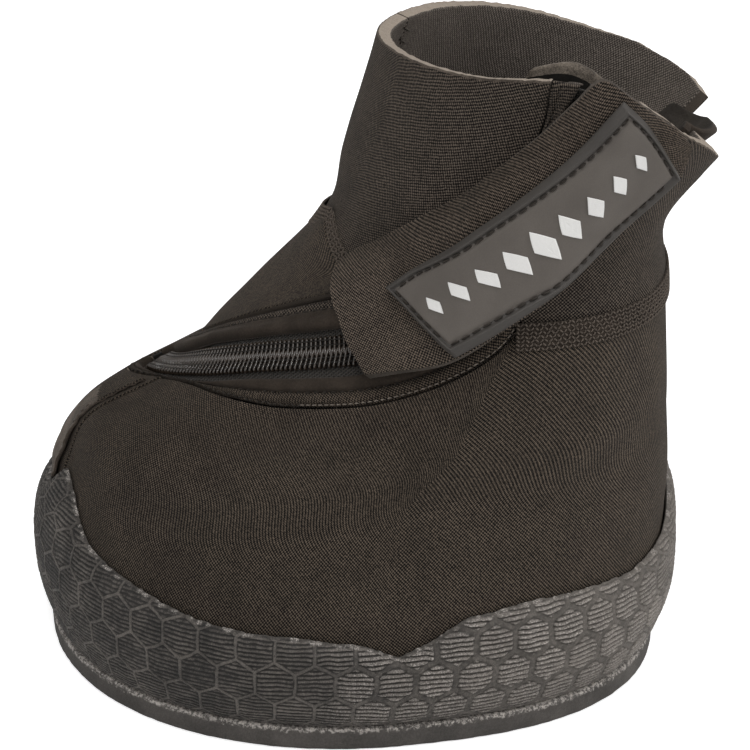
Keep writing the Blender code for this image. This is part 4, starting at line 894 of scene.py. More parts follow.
KNIT_SET = [CUP_KNIT, LINING, CUT_EDGE]
COLLAR_SET = [COLLAR_KNIT, LINING, CUT_EDGE, RIM_KNIT]


# ---------------------------------------------------------------- uppers
def facing_edge(table):
    edge = at_shares(trace(table), np.linspace(0, 1, EDGE_POINTS))
    edge[-1, 1] = rim_height(edge[-1, 0])
    return edge


FRONT_EDGE = facing_edge(FRONT_FACING_EDGE)
SIDE_EDGE = facing_edge(SIDE_FACING_EDGE)


def creases(across, up):
    """Slow, low waves in the cloth."""
    return (noise(across / 26, up / 17, 1) * 0.45 + noise(across / 12, up / 9, 2) * 0.14) * MM


def toe_puff(angles, heights):
    """How far the toe's far side stands out over the rand."""
    foot = rand_top(angles)
    turned = ((angles - TOE_PUFF_TURN) / TOE_PUFF_WIDTH) ** 2
    raised = ((heights - TOE_PUFF_HEIGHT) / TOE_PUFF_TALL) ** 2
    return TOE_PUFF * step(heights, foot, foot + TOE_PUFF_FOOT) * np.exp(-turned - raised)


def cup_relief(across, up, angles, heights):
    seam, foot = seam_height(angles), rand_top(angles)
    slow = creases(across, up) * step(heights, foot + 0.001, foot + 0.010)
    shoulder = hump(seam - SHOULDER_DROP - heights, SHOULDER_WIDTH) * (1 - step(np.abs(angles), *SHOULDER_TURNS))
    dip = SEAM_DIP * hump(seam - heights, SEAM_DIP_WIDTH)
    return slow - dip + SHOULDER_RISE * shoulder + toe_puff(angles, heights)


def build_cup_near():
    foot = BOTTOM_STACK + PANEL_FOOT
    share = shares(170, 0.22)
    under = np.interp(pi * share, *beside(SIDE_EDGE, -SEAM_GAP).T)
    top = np.minimum(under, seam_height(pi * share) - SEAM_GAP / 2)
    heights = foot + (top - foot)[None] * shares(90, 0.075)[:, None]
    start, end = angle_at(SEAM_GAP / 2, heights), heel_angle_at(SEAM_GAP / 2, heights)
    panel("cup_near_knit", pairs(start + (end - start) * share, heights), KNIT_SET, "neoprene", ["cup_near"],
          relief=cup_relief)


def carried_back(edge, angle):
    """An edge whose first piece runs straight on back to an angle."""
    slope = (edge[1, 1] - edge[0, 1]) / (edge[1, 0] - edge[0, 0])
    return np.concatenate([[[angle, edge[0, 1] + (angle - edge[0, 0]) * slope]], edge])


def build_cup_far():
    """The far cup runs on over the instep to the zip, and a notch in its edge takes the zip's far end."""
    foot = BOTTOM_STACK + PANEL_FOOT
    far = -pi + (pi + ZIP_END_TURN) * shares(150, 0.2)
    middle = ZIP_END_TURN * (1 - shares(26, 0.028))[1:]
    near = INSTEP_TURN * shares(34, 0.035)[1:]
    columns = np.concatenate([far, middle, near])
    end, toe = len(far) - 1, len(far) + len(middle) - 1
    side = carried_back(beside(SIDE_EDGE, -SEAM_GAP), ZIP_END_TURN)
    front = carried_back(beside(FRONT_EDGE, SEAM_GAP), ZIP_END_TURN)
    low = np.interp(columns, side[:, 0], side[:, 1])
    high = np.interp(columns, front[:, 0], front[:, 1])
    top = seam_height(columns) - SEAM_GAP / 2
    first, second, third = shares(70, 0.065)[:, None], shares(16, 0.009)[1:, None], shares(28, 0.025)[1:, None]
    heights = np.concatenate([foot + (low - foot) * first, low + (high - low) * second, high + (top - high) * third])
    below = len(first) - 1
    above = below + len(second)
    angles = np.broadcast_to(columns, heights.shape).copy()
    angles[:, :end + 1] += angle_at(SEAM_GAP / 2, heights[:, :1]) * (ZIP_END_TURN - far) / (pi + ZIP_END_TURN)
    toe_gap = angle_at(SEAM_GAP / 2, heights[:below + 1, toe:toe + 1])
    angles[:below + 1, end:toe + 1] -= toe_gap * (1 - columns[end:toe + 1] / ZIP_END_TURN)
    keep = np.ones((len(heights) - 1, len(columns) - 1), bool)
    keep[:below, toe:] = False
    keep[below:above, end:] = False

    def distance(along, up):
        """Distance to the nearest edge, the notch's edges among them."""
        column, row = np.arange(len(columns)), np.arange(len(heights))[:, None]
        to_end, to_toe = (np.abs(along - along[:, place:place + 1]) for place in (end, toe))
        to_low, to_high = np.abs(up - up[below]), np.abs(up - up[above])
        under = np.minimum(np.where(column <= end, np.hypot(to_end, to_low), to_low), to_toe)
        over = np.where(column <= end, np.hypot(to_end, to_high), to_high)
        notch = np.where(row <= below, under, np.where(row >= above, over, to_end))
        return np.minimum(from_edges(along, up), notch)

    panel("cup_far_knit", pairs(angles, heights), KNIT_SET, "neoprene", ["cup_far"], relief=cup_relief,
          keep=keep, distance=distance)


def notch_half(height, foot, top, power):
    share = np.clip((height - foot) / (top - foot), 0, 1)
    return NOTCH_FOOT + (NOTCH_TOP - NOTCH_FOOT) * share ** power


def seam_top(angle):
    return seam_height(angle) + SEAM_GAP / 2


def heel_edge(side):
    """The edge of the heel opening on the near side, 1, or the far side, -1."""
    foot, top = seam_top(pi), rim_height(pi)
    heights = np.linspace(foot, top, LINE_POINTS)
    half = notch_half(heights, foot, top, NOTCH_POWER if side > 0 else FAR_NOTCH_POWER)
    edge = pairs(side * heel_angle_at(half, heights), heights)
    edge[-1, 1] = rim_height(edge[-1, 0])
    return edge


def between_seam_and_rim(line):
    fine = at_shares(line, np.linspace(0, 1, 600))
    above = fine[:, 1] - seam_top(fine[:, 0])
    below = rim_height(fine[:, 0]) - fine[:, 1]
    part = at_shares(fine[(above > 0) & (below > 0)], np.linspace(0, 1, 90))
    part[0, 1] = seam_top(part[0, 0])
    part[-1, 1] = rim_height(part[-1, 0])
    return part


def turn_line(start, end, height_of, count=200):
    angles = np.linspace(start, end, count)
    return pairs(angles, height_of(angles))


def upright(angle, low, high):
    return pairs(angle, np.linspace(low, high, LINE_POINTS))


def heel_flare(angle, height):
    """How far the far side of the heel opening stands out: most at its edge and at the rim."""
    turn = np.mod(angle, 2 * pi)
    start, full, end = FLARE_TURNS
    round_heel = step(turn, start, full) * (1 - step(turn, full, end))
    foot = seam_height(pi)
    rise = np.clip((height - foot) / (rim_height(pi) - foot), 0, 1)
    return HEEL_FLARE * round_heel * rise ** FLARE_POWER


def ragged(grid):
    """The rim as cut by hand: its height wanders a little."""
    grid = grid.copy()
    grid[..., 1] += RIM_WANDER * np.linspace(0, 1, len(grid))[:, None] ** 8 * noise(grid[..., 0] * 45, 0, 5)
    return grid


def collar_relief(across, up, angles, heights):
    """Creases, a rolled rim, a dip at the seam, and the heel opening's near corner, which stands out a little."""
    below = rim_height(angles) - heights
    slow = creases(across + 40, up) * (1 - hump(below, CALM_WIDTH))
    flare = NEAR_FLARE * step(angles, *NEAR_FLARE_TURNS) * step(heights, *NEAR_FLARE_HEIGHTS)
    return slow + ROLL_RISE * hump(below, ROLL_WIDTH) - SEAM_DIP * hump(
        heights - seam_height(angles), SEAM_DIP_WIDTH) + flare


def collar_panel(node, front, rear, columns, binding_start=1.0):
    """A collar panel between two upright edges, rolled at the rim, its rear end bound from binding_start on."""
    rows = shares(64, 0.05)
    grid = patch(turn_line(front[0, 0], rear[0, 0], seam_top), rear,
                 turn_line(front[-1, 0], rear[-1, 0], rim_height), front, columns, rows)
    panel(node + "_knit", ragged(grid), COLLAR_SET, "neoprene", [node], relief=collar_relief,
          outer=heel_flare(grid[..., 0], grid[..., 1]),
          split=lambda row, column: (rows[row] > ROLL_START) | (columns[column] > binding_start))


def build_collar():
    gap = angle_at(SEAM_GAP / 2, COLLAR_HEIGHT)
    before, behind = (upright(turn, seam_top(turn), rim_height(turn))
                      for turn in (COLLAR_SEAM_TURN + gap, COLLAR_SEAM_TURN - gap))
    front = between_seam_and_rim(beside(FRONT_EDGE, FACING_GAP))
    side = between_seam_and_rim(beside(SIDE_EDGE, -FACING_GAP))
    collar_panel("collar_front", before, front, shares(110, 0.08))
    collar_panel("collar_far", heel_edge(-1), behind, shares(130, 0.1))
    collar_panel("collar_near", side, heel_edge(1), shares(110, 0.08), HEEL_BINDING_START)


def build_gusset():
    across = 2 * shares(50, 2 * GUSSET_HALF) - 1
    foot = seam_height(pi) + GUSSET_FOOT_RISE
    shoulder = np.where(across > 0, GUSSET_NEAR_SHOULDER, GUSSET_SHOULDER)
    top = rim_height(pi) + GUSSET_TOP_RISE - shoulder * np.abs(across) ** GUSSET_SHOULDER_POWER
    heights = foot + (top - foot) * shares(40, 0.03)[:, None]
    angles = heel_angle_at(across * GUSSET_HALF, heights)
    power = np.where(across > 0, NOTCH_POWER, FAR_NOTCH_POWER)
    free = np.maximum(notch_half(heights, seam_top(pi), rim_height(pi), power) - GUSSET_BULGE_MARGIN, TOUCH_GAP)
    swell = np.clip(1 - (across * GUSSET_HALF / free) ** 2, 0, 1) ** 0.5
    rise = (heights - foot) / (top - foot)
    depth = GUSSET_BULGE * swell * rise - NEOPRENE - RAND_GAP + heel_flare(angles, heights)
    panel("heel_gusset_cloth", pairs(angles, heights)[:, ::-1], [SUEDE, INNER_CLOTH, SUEDE], "neoprene",
          ["heel_gusset"], outer=depth[:, ::-1], thickness=GUSSET_THICKNESS)


def sewn_tape(node, grid, **looks):
    panel(node + "_cloth", grid, [TOE_CLOTH, TOE_CLOTH, CUT_EDGE, CUP_KNIT], "sewn_tape", [node],
          outer=TAPE_OUTER, thickness=TAPE_THICKNESS, edge=SOFT_EDGE, **looks)


def tape_lift(_, up, angles, heights):
    """The toe tape's near edge stands off the cup over the rand, and is a little frayed."""
    edge = np.clip((angles - TOE_TURN) / angle_at(TOE_TAPE_HALF, heights), 0, 1)
    low_part = 1 - step(heights, *TAPE_LIFT_HEIGHTS)
    fringe = edge ** 4 * TAPE_FRAY * noise(up / 1.4, 0, 4)
    return TAPE_LIFT * low_part * edge ** 3 + fringe + toe_puff(angles, heights)


def build_tapes():
    rows = shares(70, 0.03)[:, None]
    across = 2 * shares(20, 2 * TOE_TAPE_HALF) - 1
    turns = TOE_TURN + angle_at(across * TOE_TAPE_HALF, rand_top(0))
    low, high = rand_top(turns) + 2 * TAPE_END_GAP, np.interp(turns, *SIDE_EDGE.T) - 2 * TAPE_END_GAP
    heights = low + (high - low) * rows
    sewn_tape("toe_tape", pairs(TOE_TURN + angle_at(across * TOE_TAPE_HALF, heights), heights), relief=tape_lift,
              inner_relief=tape_lift, split=lambda row, column: heights[row, column] > TOE_KNIT_START)
    across = 2 * shares(16, 2 * HEEL_TAPE_HALF) - 1
    low, high = rand_top(pi) + TAPE_END_GAP, seam_height(pi) - BAND_WIDTH / 2 - TAPE_END_GAP
    heel_heights = low + (high - low) * rows
    sewn_tape("heel_tape", pairs(heel_angle_at(across * HEEL_TAPE_HALF, heel_heights), heel_heights)[:, ::-1])


def side_line(half, low, high, at=angle_at):
    """A line up the boot at a distance beside the toe or heel line."""
    heights = np.linspace(low, high, 2 * LINE_POINTS)
    return pairs(at(half, heights), heights)


def band(node, start, end, length):
    """The band over the join of cup and collar: low ridges, and rows of thread that lean to and fro."""
    middle = turn_line(start, end, seam_height, 240)
    low, high = beside(middle, -BAND_WIDTH / 2), beside(middle, BAND_WIDTH / 2)
    grid = patch(low, np.stack([low[-1], high[-1]]), high, np.stack([low[0], high[0]]), shares(260, length),
                 shares(12, BAND_WIDTH))

    def tucked(across, up, angles, heights):
        return 0.00010 * np.cos(up / (BAND_WIDTH / MM) * 8 * pi) - 0.0001 + 0.00006 * noise(across / 1.3, up / 1.3, 6)

    panel(node + "_tape", grid, [SUEDE, SUEDE, CUT_EDGE], "sewn_tape", [node], outer=BAND_LEVEL,
          thickness=BAND_LEVEL - TOUCH_GAP / 2, edge=THIN_EDGE, relief=tucked)
    rows = [stitch_row(middle, 0.00095 + 0.00007 * (row % 3), 0.62, BAND_WIDTH * 0.30 / BAND_ROWS, BAND_LEVEL,
                       0.00014, 0.00020, BAND_WIDTH * ((row + 0.5) / BAND_ROWS - 0.5)) for row in range(BAND_ROWS)]
    tubes(node + "_tape_threads", rows, SEAM_THREAD)


def build_bands():
    gap = angle_at(BAND_END, COLLAR_HEIGHT)
    heel_turn = heel_angle_at(TOUCH_GAP / 2, COLLAR_HEIGHT)
    band("seam_band_front", -heel_turn, INSTEP_TURN - gap, 0.25)
    band("seam_band_side", SIDE_BAND_TURN + gap, heel_turn, 0.12)


def build_facings():
    """The two facings beside the zip, with their ridges, grooves and rows of thread."""
    route = zip_route(0, ZIP_LENGTH, EDGE_POINTS)
    opened = np.interp(np.linspace(0, ZIP_LENGTH, EDGE_POINTS) / SLOT_ROUND, *np.array(SLOT_OPEN).T)
    front_inner, side_inner = (beside(route, side * (SLOT_START + (slot - SLOT_START) * opened))
                               for side, slot in ((1, FRONT_SLOT), (-1, SIDE_SLOT)))
    for edge in (front_inner, side_inner):
        edge[-1, 1] = rim_height(edge[-1, 0])
    along, up = shares(300, ZIP_LENGTH, 0.0012), shares(30, 0.008, FACING_EDGE)
    share = up[:, None]

    def front_relief(across, up, angles, heights):
        lip = 0.0006 * hump(share - 0.20, 0.22)
        rows = sum(hump(share - place, 0.05) for place in (FRONT_ROW, 0.93))
        return lip - 0.00035 * rows + 0.00012 * noise(across / 4, up / 2, 14)

    def side_relief(across, up, angles, heights):
        back = 1 - share
        ridges = 0.0005 * hump(back - 0.22, 0.20) + 0.0004 * hump(back - 0.76, 0.15)
        grooves = (0.0009 * hump(back - SIDE_GROOVE, 0.055), 0.0004 * hump(back - 0.94, 0.05))
        return ridges - grooves[0] - grooves[1] + 0.00015 * noise(across / 4, up / 2, 15)

    for node, inner, outer, knitted, relief, split in (
            ("zip_facing_front", front_inner, FRONT_EDGE, COLLAR_KNIT, front_relief,
             lambda row, column: (up[row] > FRONT_ROW) | (along[column] > FACING_KNIT_SHARE)),
            ("zip_facing_side", SIDE_EDGE, side_inner, CUP_KNIT, side_relief,
             lambda row, column: up[row] < 1 - SIDE_GROOVE)):
        inner, outer = at_shares(inner, along), at_shares(outer, along)
        grid = inner[None] * (1 - share[..., None]) + outer[None] * share[..., None]
        grid[..., 1] = np.minimum(grid[..., 1], rim_height(grid[..., 0]))
        panel(node + "_cloth", grid, [SUEDE, LINING, SUEDE, knitted], "neoprene", [node],
              thickness=FACING_THICKNESS, edge=FACING_EDGE, relief=relief, split=split)
    whole = np.linspace(0, 1, EDGE_POINTS)
    front_row = at_shares(front_inner, whole) * (1 - FRONT_ROW) + FRONT_EDGE * FRONT_ROW
    side_row = at_shares(side_inner, whole) * (1 - SIDE_GROOVE) + SIDE_EDGE * SIDE_GROOVE
    bright = stitch_row(SIDE_EDGE[60:], 0.0017, 0.56, depth=0.0001, lift=0.00020, radius=0.00016, offset=0.0003)
    tubes("facing_edge_stitches", [bright], EDGE_THREAD)
    tubes("zip_facing_stitches", [
        stitch_row(front_row, 0.0026, 0.66, depth=-0.0003, radius=0.00018),
        stitch_row(FRONT_EDGE, 0.0020, 0.60, depth=-0.0003, lift=0.00022, radius=0.00016, offset=-0.0007),
        stitch_row(side_row, 0.0024, 0.50, depth=-0.0007, lift=0.00025, radius=0.00018),
        stitch_row(SIDE_EDGE[:62], 0.0017, 0.60, 0.0002, -0.0001, 0.00026, 0.00017, 0.0002),
    ], THREAD)


def chain_parting(lengths):
    """How far each chain stands from the zip's middle: close below the slider, and apart above it."""
    past_slider = lengths - ZIP_LENGTH + SLIDER_PLACE + SLIDER_LENGTH / 2
    return CHAIN_SPLIT + (CHAIN_OPEN - CHAIN_SPLIT) * step(past_slider, 0, SLIDER_LENGTH)


def over_zip(route, along, beyond, depth):
    """Points along the zip's route, sideways of it and out of the form, with the ways ahead and outward there."""
    place = at_lengths(route, along)
    ahead = on_form(*at_lengths(route, along + 1e-4).T) - on_form(*at_lengths(route, along - 1e-4).T)
    ahead /= np.linalg.norm(ahead, axis=1, keepdims=True)
    square = outward(*place.T)
    sideways = np.cross(square, ahead)
    points = on_form(*place.T) + sideways * beyond[:, None] + square * np.broadcast_to(depth, len(along))[:, None]
    return points[None], ahead[None], square[None]


def build_zip_tapes():
    surface = zip_cloth()
    count = 241
    start, end = ZIP_TAPE_START, ZIP_LENGTH - ZIP_TOP_MARGIN
    route = zip_route(start, end, count)
    inner = chain_parting(np.linspace(start, end, count))
    for side, node, edge in ((1, "zip_tape_front", FRONT_EDGE), (-1, "zip_tape_side", SIDE_EDGE)):
        reaches = np.linalg.norm(on_form(*edge.T)[None] - on_form(*route.T)[:, None], axis=2)
        room = reaches.min(axis=1) * TAPE_ROOM_SHARE
        near, out = beside(route, side * inner), beside(route, side * np.minimum(ZIP_TAPE_HALF, room))
        share = shares(10, ZIP_TAPE_HALF, THIN_EDGE)[:, None, None]
        grid = near * (1 - share) + out * share
        grid[..., 1] = np.minimum(grid[..., 1], rim_height(grid[..., 0]) - ZIP_TOP_MARGIN)
        if side < 0:
            grid = grid[::-1]
        panel(node + "_cloth", grid, [surface] * 3, "zip_coil", [node], outer=TAPE_TOP,
              thickness=ZIP_TAPE_THICKNESS, edge=THIN_EDGE)


# One turn of the coil: share of the pitch, distance from the middle, height over the tape, thickness share
COIL_TURN = (
    (0.00, 3.74, 0.80, 1.00),
    (0.06, 3.56, 1.42, 1.00),
    (0.20, 2.55, 1.52, 0.95),
    (0.36, 1.35, 1.58, 1.00),
    (0.50, 0.25, 1.70, 1.16),
    (0.58, -0.66, 1.36, 1.24),
    (0.64, -0.10, 0.78, 1.05),
    (0.74, 1.20, 0.44, 0.90),
    (0.86, 2.60, 0.38, 0.90),
    (0.96, 3.50, 0.44, 1.00),
)


def build_coils():
    """The two coils, each over its filler cords, and the rows of thread that sew them to their tapes."""
    start, end = CHAIN_START, ZIP_LENGTH - ZIP_TOP_MARGIN - STOP_LENGTH - TOUCH_GAP
    turns = int((end - start) / COIL_PITCH) - 1
    table = np.array(COIL_TURN)
    route = zip_route(0, ZIP_LENGTH, 700)
    threads, cords = [], []
    for side, node in ((1, "zip_chain_front"), (-1, "zip_chain_side")):

        def beyond(place, along):
            return side * (place * MM + chain_parting(along) - CHAIN_SPLIT)

        shift = 0.5 if side < 0 else 0.0
        along = (np.arange(turns)[:, None] + table[:, 0] + shift).ravel() * COIL_PITCH + start + COIL_RADIUS
        keys = np.arange(len(along), dtype=float)
        wanted = np.linspace(0, keys[-1], (len(keys) - 1) * 3 + 1)
        across, height, thick = (smooth(wanted, keys, np.tile(table[:, index], turns)) for index in (1, 2, 3))
        along = smooth(wanted, keys, along)
        points, ahead, _ = over_zip(route, along, beyond(across, along), CHAIN_FOOT + height * MM)
        tubes(node + "_coil", [(points, COIL_RADIUS * thick[None], ahead)], COIL, sides=8,
              stands_for=[node])
        along = np.linspace(start, end, 400)
        for place in CORD_PLACES:
            points, _, square = over_zip(route, along, beyond(place, along), CHAIN_FOOT + CORD_HEIGHT)
            cords.append((points, CORD_RADIUS, square))
        along = np.linspace(start, end, 900)
        height = CHAIN_FOOT + THREAD_HEIGHT + THREAD_DIP * np.cos(2 * pi * along / COIL_PITCH)
        for place in THREAD_PLACES:
            points, _, square = over_zip(route, along, beyond(place, along), height)
            threads.append((points, THREAD_RADIUS, square))
    tubes("zip_coil_threads", threads, COIL_THREAD)
    tubes("zip_filler_cords", cords, CORD, sides=8)


def build_guard():
    """The flap behind the zip: sewn along the side facing, and bowed into the boot at the rim."""
    count = 150
    route = zip_route(GUARD_START, ZIP_LENGTH, count)
    near_rim = step(np.linspace(GUARD_START, ZIP_LENGTH, count), ZIP_LENGTH - GUARD_FLARE, ZIP_LENGTH)
    free_edge = GUARD_FREE_EDGE + (GUARD_TOP_EDGE - GUARD_FREE_EDGE) * near_rim
    top = -(NEOPRENE + TOUCH_GAP)
    places = np.array(GUARD_ACROSS)
    lines, depths = [], []
    for across in 2 * shares(40, 0.02) - 1:
        drop = smooth(across, places, np.array(GUARD_DROP_AT))
        bow = smooth(across, places, np.array(GUARD_BOW_AT))
        line = beside(route, across * (GUARD_SEWN_EDGE if across < 0 else free_edge))
        rise = smooth(line[-1, 0], *places_of(GUARD_TOP_LINE)) - line[-1, 1]
        line[:, 1] += rise * near_rim
        lines.append(line)
        depths.append(top - GUARD_DROP * np.clip(drop, 0, 1) * (1 - near_rim) - GUARD_BOW * bow * near_rim)

    def fuzz(across, up, angles, heights):
        edge = step(np.arange(count), count - 12, count - 2)
        return 0.00025 * edge * noise(up / 1.1, across / 1.1, 16) + 0.0001 * noise(across / 5, up / 5, 17)

    # The outer face carries the painted shade of the hollow under the rim.
    panel("zip_guard_flap", np.stack(lines), [HOLLOW_SHADE, LINING, BRUSHED, BRUSHED], "neoprene", ["zip_guard"],
          outer=np.stack(depths), thickness=GUARD_THICKNESS, edge=SOFT_EDGE, relief=fuzz,
          split=lambda row, column: column > count - GUARD_PALE_ROWS)


# ---------------------------------------------------------------- strap and badge
def strap_depth(angle):
    """Depth of the strap's inner face: on the patches, then over the slider, then down to the sewn edge."""
    rise, drop = step(angle, *STRAP_RISE), step(angle, *STRAP_DROP)
    return STRAP_LOW + (STRAP_HIGH - STRAP_LOW) * rise - (STRAP_HIGH - TOUCH_GAP) * drop


def build_strap():
    grid = ruled_patch((STRAP_LOWER, STRAP_REAR, STRAP_UPPER, STRAP_FRONT), shares(170, 0.11), shares(70, 0.04))
    depth = strap_depth(grid[..., 0])

    def puff(across, up, angles, heights):
        return 0.0002 * noise(across / 14, up / 10, 9)

    panel("strap_knit", grid, [STRAP_KNIT, LINING, STRAP_EDGE], "strap_knit", ["strap"], body="strap",
          outer=depth + STRAP_THICKNESS, thickness=STRAP_THICKNESS, edge=SOFT_EDGE, relief=puff)


def corner_grid(corners, along, across):
    angles, heights = places_of(corners)
    points = np.stack([angles, heights], -1)
    along = np.asarray(along, float)[None, :, None]
    across = np.asarray(across, float)[:, None, None]
    lower = points[0] * (1 - along) + points[1] * along
    upper = points[3] * (1 - along) + points[2] * along
    return lower * (1 - across) + upper * across


def build_patches():
    loop = pile("loop pile", (0.010, 0.009, 0.008), (0.045, 0.038, 0.032), 0.7, 0.0004)
    hook = pile("hook tape", (0.008, 0.008, 0.008), (0.050, 0.048, 0.045), 1.1, 0.0005)
    grid = corner_grid(PATCH_CORNERS, shares(40, 0.03), shares(26, 0.014))

    def tufts(across, up, angles, heights):
        return 0.0001 * noise(across * 1.4, up * 1.4, 12)

    panel("loop_patch_pile", grid, [loop, loop, loop], "hook_and_loop", ["loop_patch"],
          outer=PATCH_GAP + PATCH_THICKNESS, thickness=PATCH_THICKNESS, edge=SOFT_EDGE, relief=tufts)
    top = strap_depth(grid[..., 0]) - TOUCH_GAP
    panel("hook_patch_tape", grid, [hook, hook, hook], "hook_and_loop", ["hook_patch"], body="strap", outer=top,
          thickness=top - TOUCH_GAP - PATCH_GAP - PATCH_THICKNESS, edge=SOFT_EDGE)


def badge_profile(distance):
    """Height over the strap by distance from the badge's edge, in millimetres."""
    return np.interp(distance, column_of(BADGE_LEVELS, 0), column_of(BADGE_LEVELS, 1))


def badge_shares(length):
    """Shares of a length with a place at each bend of the badge's profile, near both ends."""
    near = np.concatenate([column_of(BADGE_LEVELS, 0)[:-1], [BADGE_FIELD_START]]) * MM / length
    return np.concatenate([near, np.linspace(near[-1], 1 - near[-1], LINE_POINTS)[1:-1], 1 - near[::-1]])


def badge_place(grid, u, v):
    """Angles and heights at fractional places u along and v up the badge's grid, as shares of its size."""
    columns, rows = badge_shares(BADGE_LENGTH), badge_shares(BADGE_WIDTH)
    column = np.interp(u, columns, np.arange(len(columns)))
    row = np.interp(v, rows, np.arange(len(rows)))
    left = np.clip(column.astype(int), 0, len(columns) - 2)
    low = np.clip(row.astype(int), 0, len(rows) - 2)
    x, y = (column - left)[..., None], (row - low)[..., None]
    lower = grid[low, left] * (1 - x) + grid[low, left + 1] * x
    upper = grid[low + 1, left] * (1 - x) + grid[low + 1, left + 1] * x
    return lower * (1 - y) + upper * y


def badge_level(angle):
    return strap_depth(angle) + STRAP_THICKNESS + BADGE_GAP


def build_badge():
    grid = ruled_patch((BADGE_LOWER, BADGE_REAR, BADGE_UPPER, BADGE_FRONT), badge_shares(BADGE_LENGTH),
                       badge_shares(BADGE_WIDTH))
    across, up = badge_shares(BADGE_LENGTH) * BADGE_LENGTH, badge_shares(BADGE_WIDTH)[:, None] * BADGE_WIDTH
    near = np.minimum(np.minimum(across, BADGE_LENGTH - across), np.minimum(up, BADGE_WIDTH - up)) / MM
    tall = badge_profile(near) * MM
    panel("badge_plate", grid, [BADGE_BORDER, BADGE_BORDER, BADGE_BORDER, BADGE_RUBBER], "badge_rubber", ["badge"],
          body="strap", outer=badge_level(grid[..., 0]) + tall, thickness=tall, edge=0.0001,
          split=lambda row, column: near[row, column] > BADGE_GROOVE)
    groups = []
    a, b = BADGE_GROOVE * MM / BADGE_LENGTH, BADGE_GROOVE * MM / BADGE_WIDTH
    corners = np.array([[a, b], [1 - a, b], [1 - a, 1 - b], [a, 1 - b], [a, b]])
    for start, end in zip(corners, corners[1:]):
        walk = start + (end - start) * np.linspace(0, 1, 90)[:, None]
        line = badge_place(grid, walk[:, 0], walk[:, 1])
        groups.append(stitch_row(line, 0.0027, 0.74, radius=0.00022,
                                 depth=lambda turn, _: badge_level(turn) + BADGE_STITCH_LEVEL))
    tubes("badge_stitches", groups, THREAD, body="strap")
    build_ornament(grid)


def build_ornament(grid):
    """A plain row of raised white lozenges, largest in the middle."""
    points, faces = [], []
    around = np.linspace(0, 2 * pi, ORNAMENT_SIDES, endpoint=False)
    share, turn = np.meshgrid([0.001, 0.5, 0.9, 1.0], around, indexing="ij")
    reach = 1 / (np.abs(np.cos(turn)) + np.abs(np.sin(turn))) ** 0.9
    for index in range(-ORNAMENTS, ORNAMENTS + 1):
        size = ORNAMENT_SIZE * (1 - 0.10 * abs(index))
        u = 0.5 + index * ORNAMENT_STEP + share * reach * np.cos(turn) * size * ORNAMENT_WIDE / BADGE_LENGTH
        v = 0.5 + share * reach * np.sin(turn) * size / BADGE_WIDTH
        place = badge_place(grid, u, v)
        angles, heights = place[..., 0], place[..., 1]
        face = badge_level(angles) + BADGE_LEVELS[-1][1] * MM
        top = at_depth(angles, heights, face + ORNAMENT_RISE - 0.00010 * (share > 0.95))
        loops = np.concatenate([top, at_depth(angles, heights, face + ORNAMENT_FOOT)[::-1]])
        quads = np.roll(ring_faces(len(loops), ORNAMENT_SIDES, True)[:, ::-1], 1, axis=1)
        faces.append(quads + len(points) * len(loops) * ORNAMENT_SIDES)
        points.append(loops.reshape(-1, 3))
    made = mesh_object("badge_ornament", np.concatenate(points), np.concatenate(faces), [BADGE_PRINT])
    made.data.shade_flat()
    finish_piece(made, "strap")


# ---------------------------------------------------------------- rand and sole
def rand_relief(across, up, angles):
    """Hexagon cells with ribs: a thin raised web in front, a broad sunk one and bold ribs behind the notch."""
    spacing = HEX_WIDTH * np.sqrt(3) / 2
    wobble = 0.22 * noise(across / 3.1, up / 2.7, 25)
    across, up = across + wobble, up + 0.22 * noise(across / 2.8, up / 3.3, 26)
    row = np.round(up / spacing)
    best = np.full(across.shape, np.inf)
    cell = np.zeros(across.shape)
    for shift in (-1, 0, 1):
        level = row + shift
        y = up - level * spacing
        x = across / HEX_WIDTH - 0.5 * np.mod(level, 2)
        column = np.round(x)
        x = (x - column) * HEX_WIDTH
        reach = np.maximum.reduce([np.abs(x), np.abs(x / 2 + y * 0.8660254), np.abs(x / 2 - y * 0.8660254)])
        cell = np.where(reach < best, 12.9898 * column + 78.233 * level, cell)
        best = np.minimum(best, reach)
    own = np.mod(np.sin(cell) * 43758.5453, 1.0)
    border = HEX_WIDTH / 2 - best
    bold = step(np.abs(angles), *BOLD_TURNS) * (1 - 0.7 * step(np.abs(angles), *CALM_TURNS))
    half_web = 0.24 + 0.34 * bold
    web = 1 - step(border, half_web, half_web + 0.26)
    wander = 0.09 * noise(across / 2.6, up / 1.3, 20) + 0.06 * noise(across / 0.9, up / 0.7, 21)
    pitch = RIB_PITCH * (0.85 + 0.11 * bold)
    lean = 0.10 * (own - 0.5) * across
    ribs = 0.5 + 0.5 * np.sin(2 * pi * (up + wander + lean) / pitch)
    ribs = step(ribs, 0.14, 0.62)
    worn = 0.5 + 0.5 * noise(across / 13, up / 7, 24)
    rib_top = (0.18 + 0.16 * worn) * (1 - bold) + (0.62 + 0.16 * (own - 0.5)) * bold
    inside = ribs * step(border, half_web + 0.14, half_web + 0.42)
    top = 0.34 - 0.15 * bold
    grain = 0.07 * noise(across * 1.9, up * 1.9, 22) + 0.06 * noise(across / 1.3, up / 1.1, 23)
    high = np.maximum(rib_top * inside, web * top) + grain
    # The second value marks where glints are painted on the bold ribs.
    return high * MM, inside * bold * (0.45 + 0.55 * own)


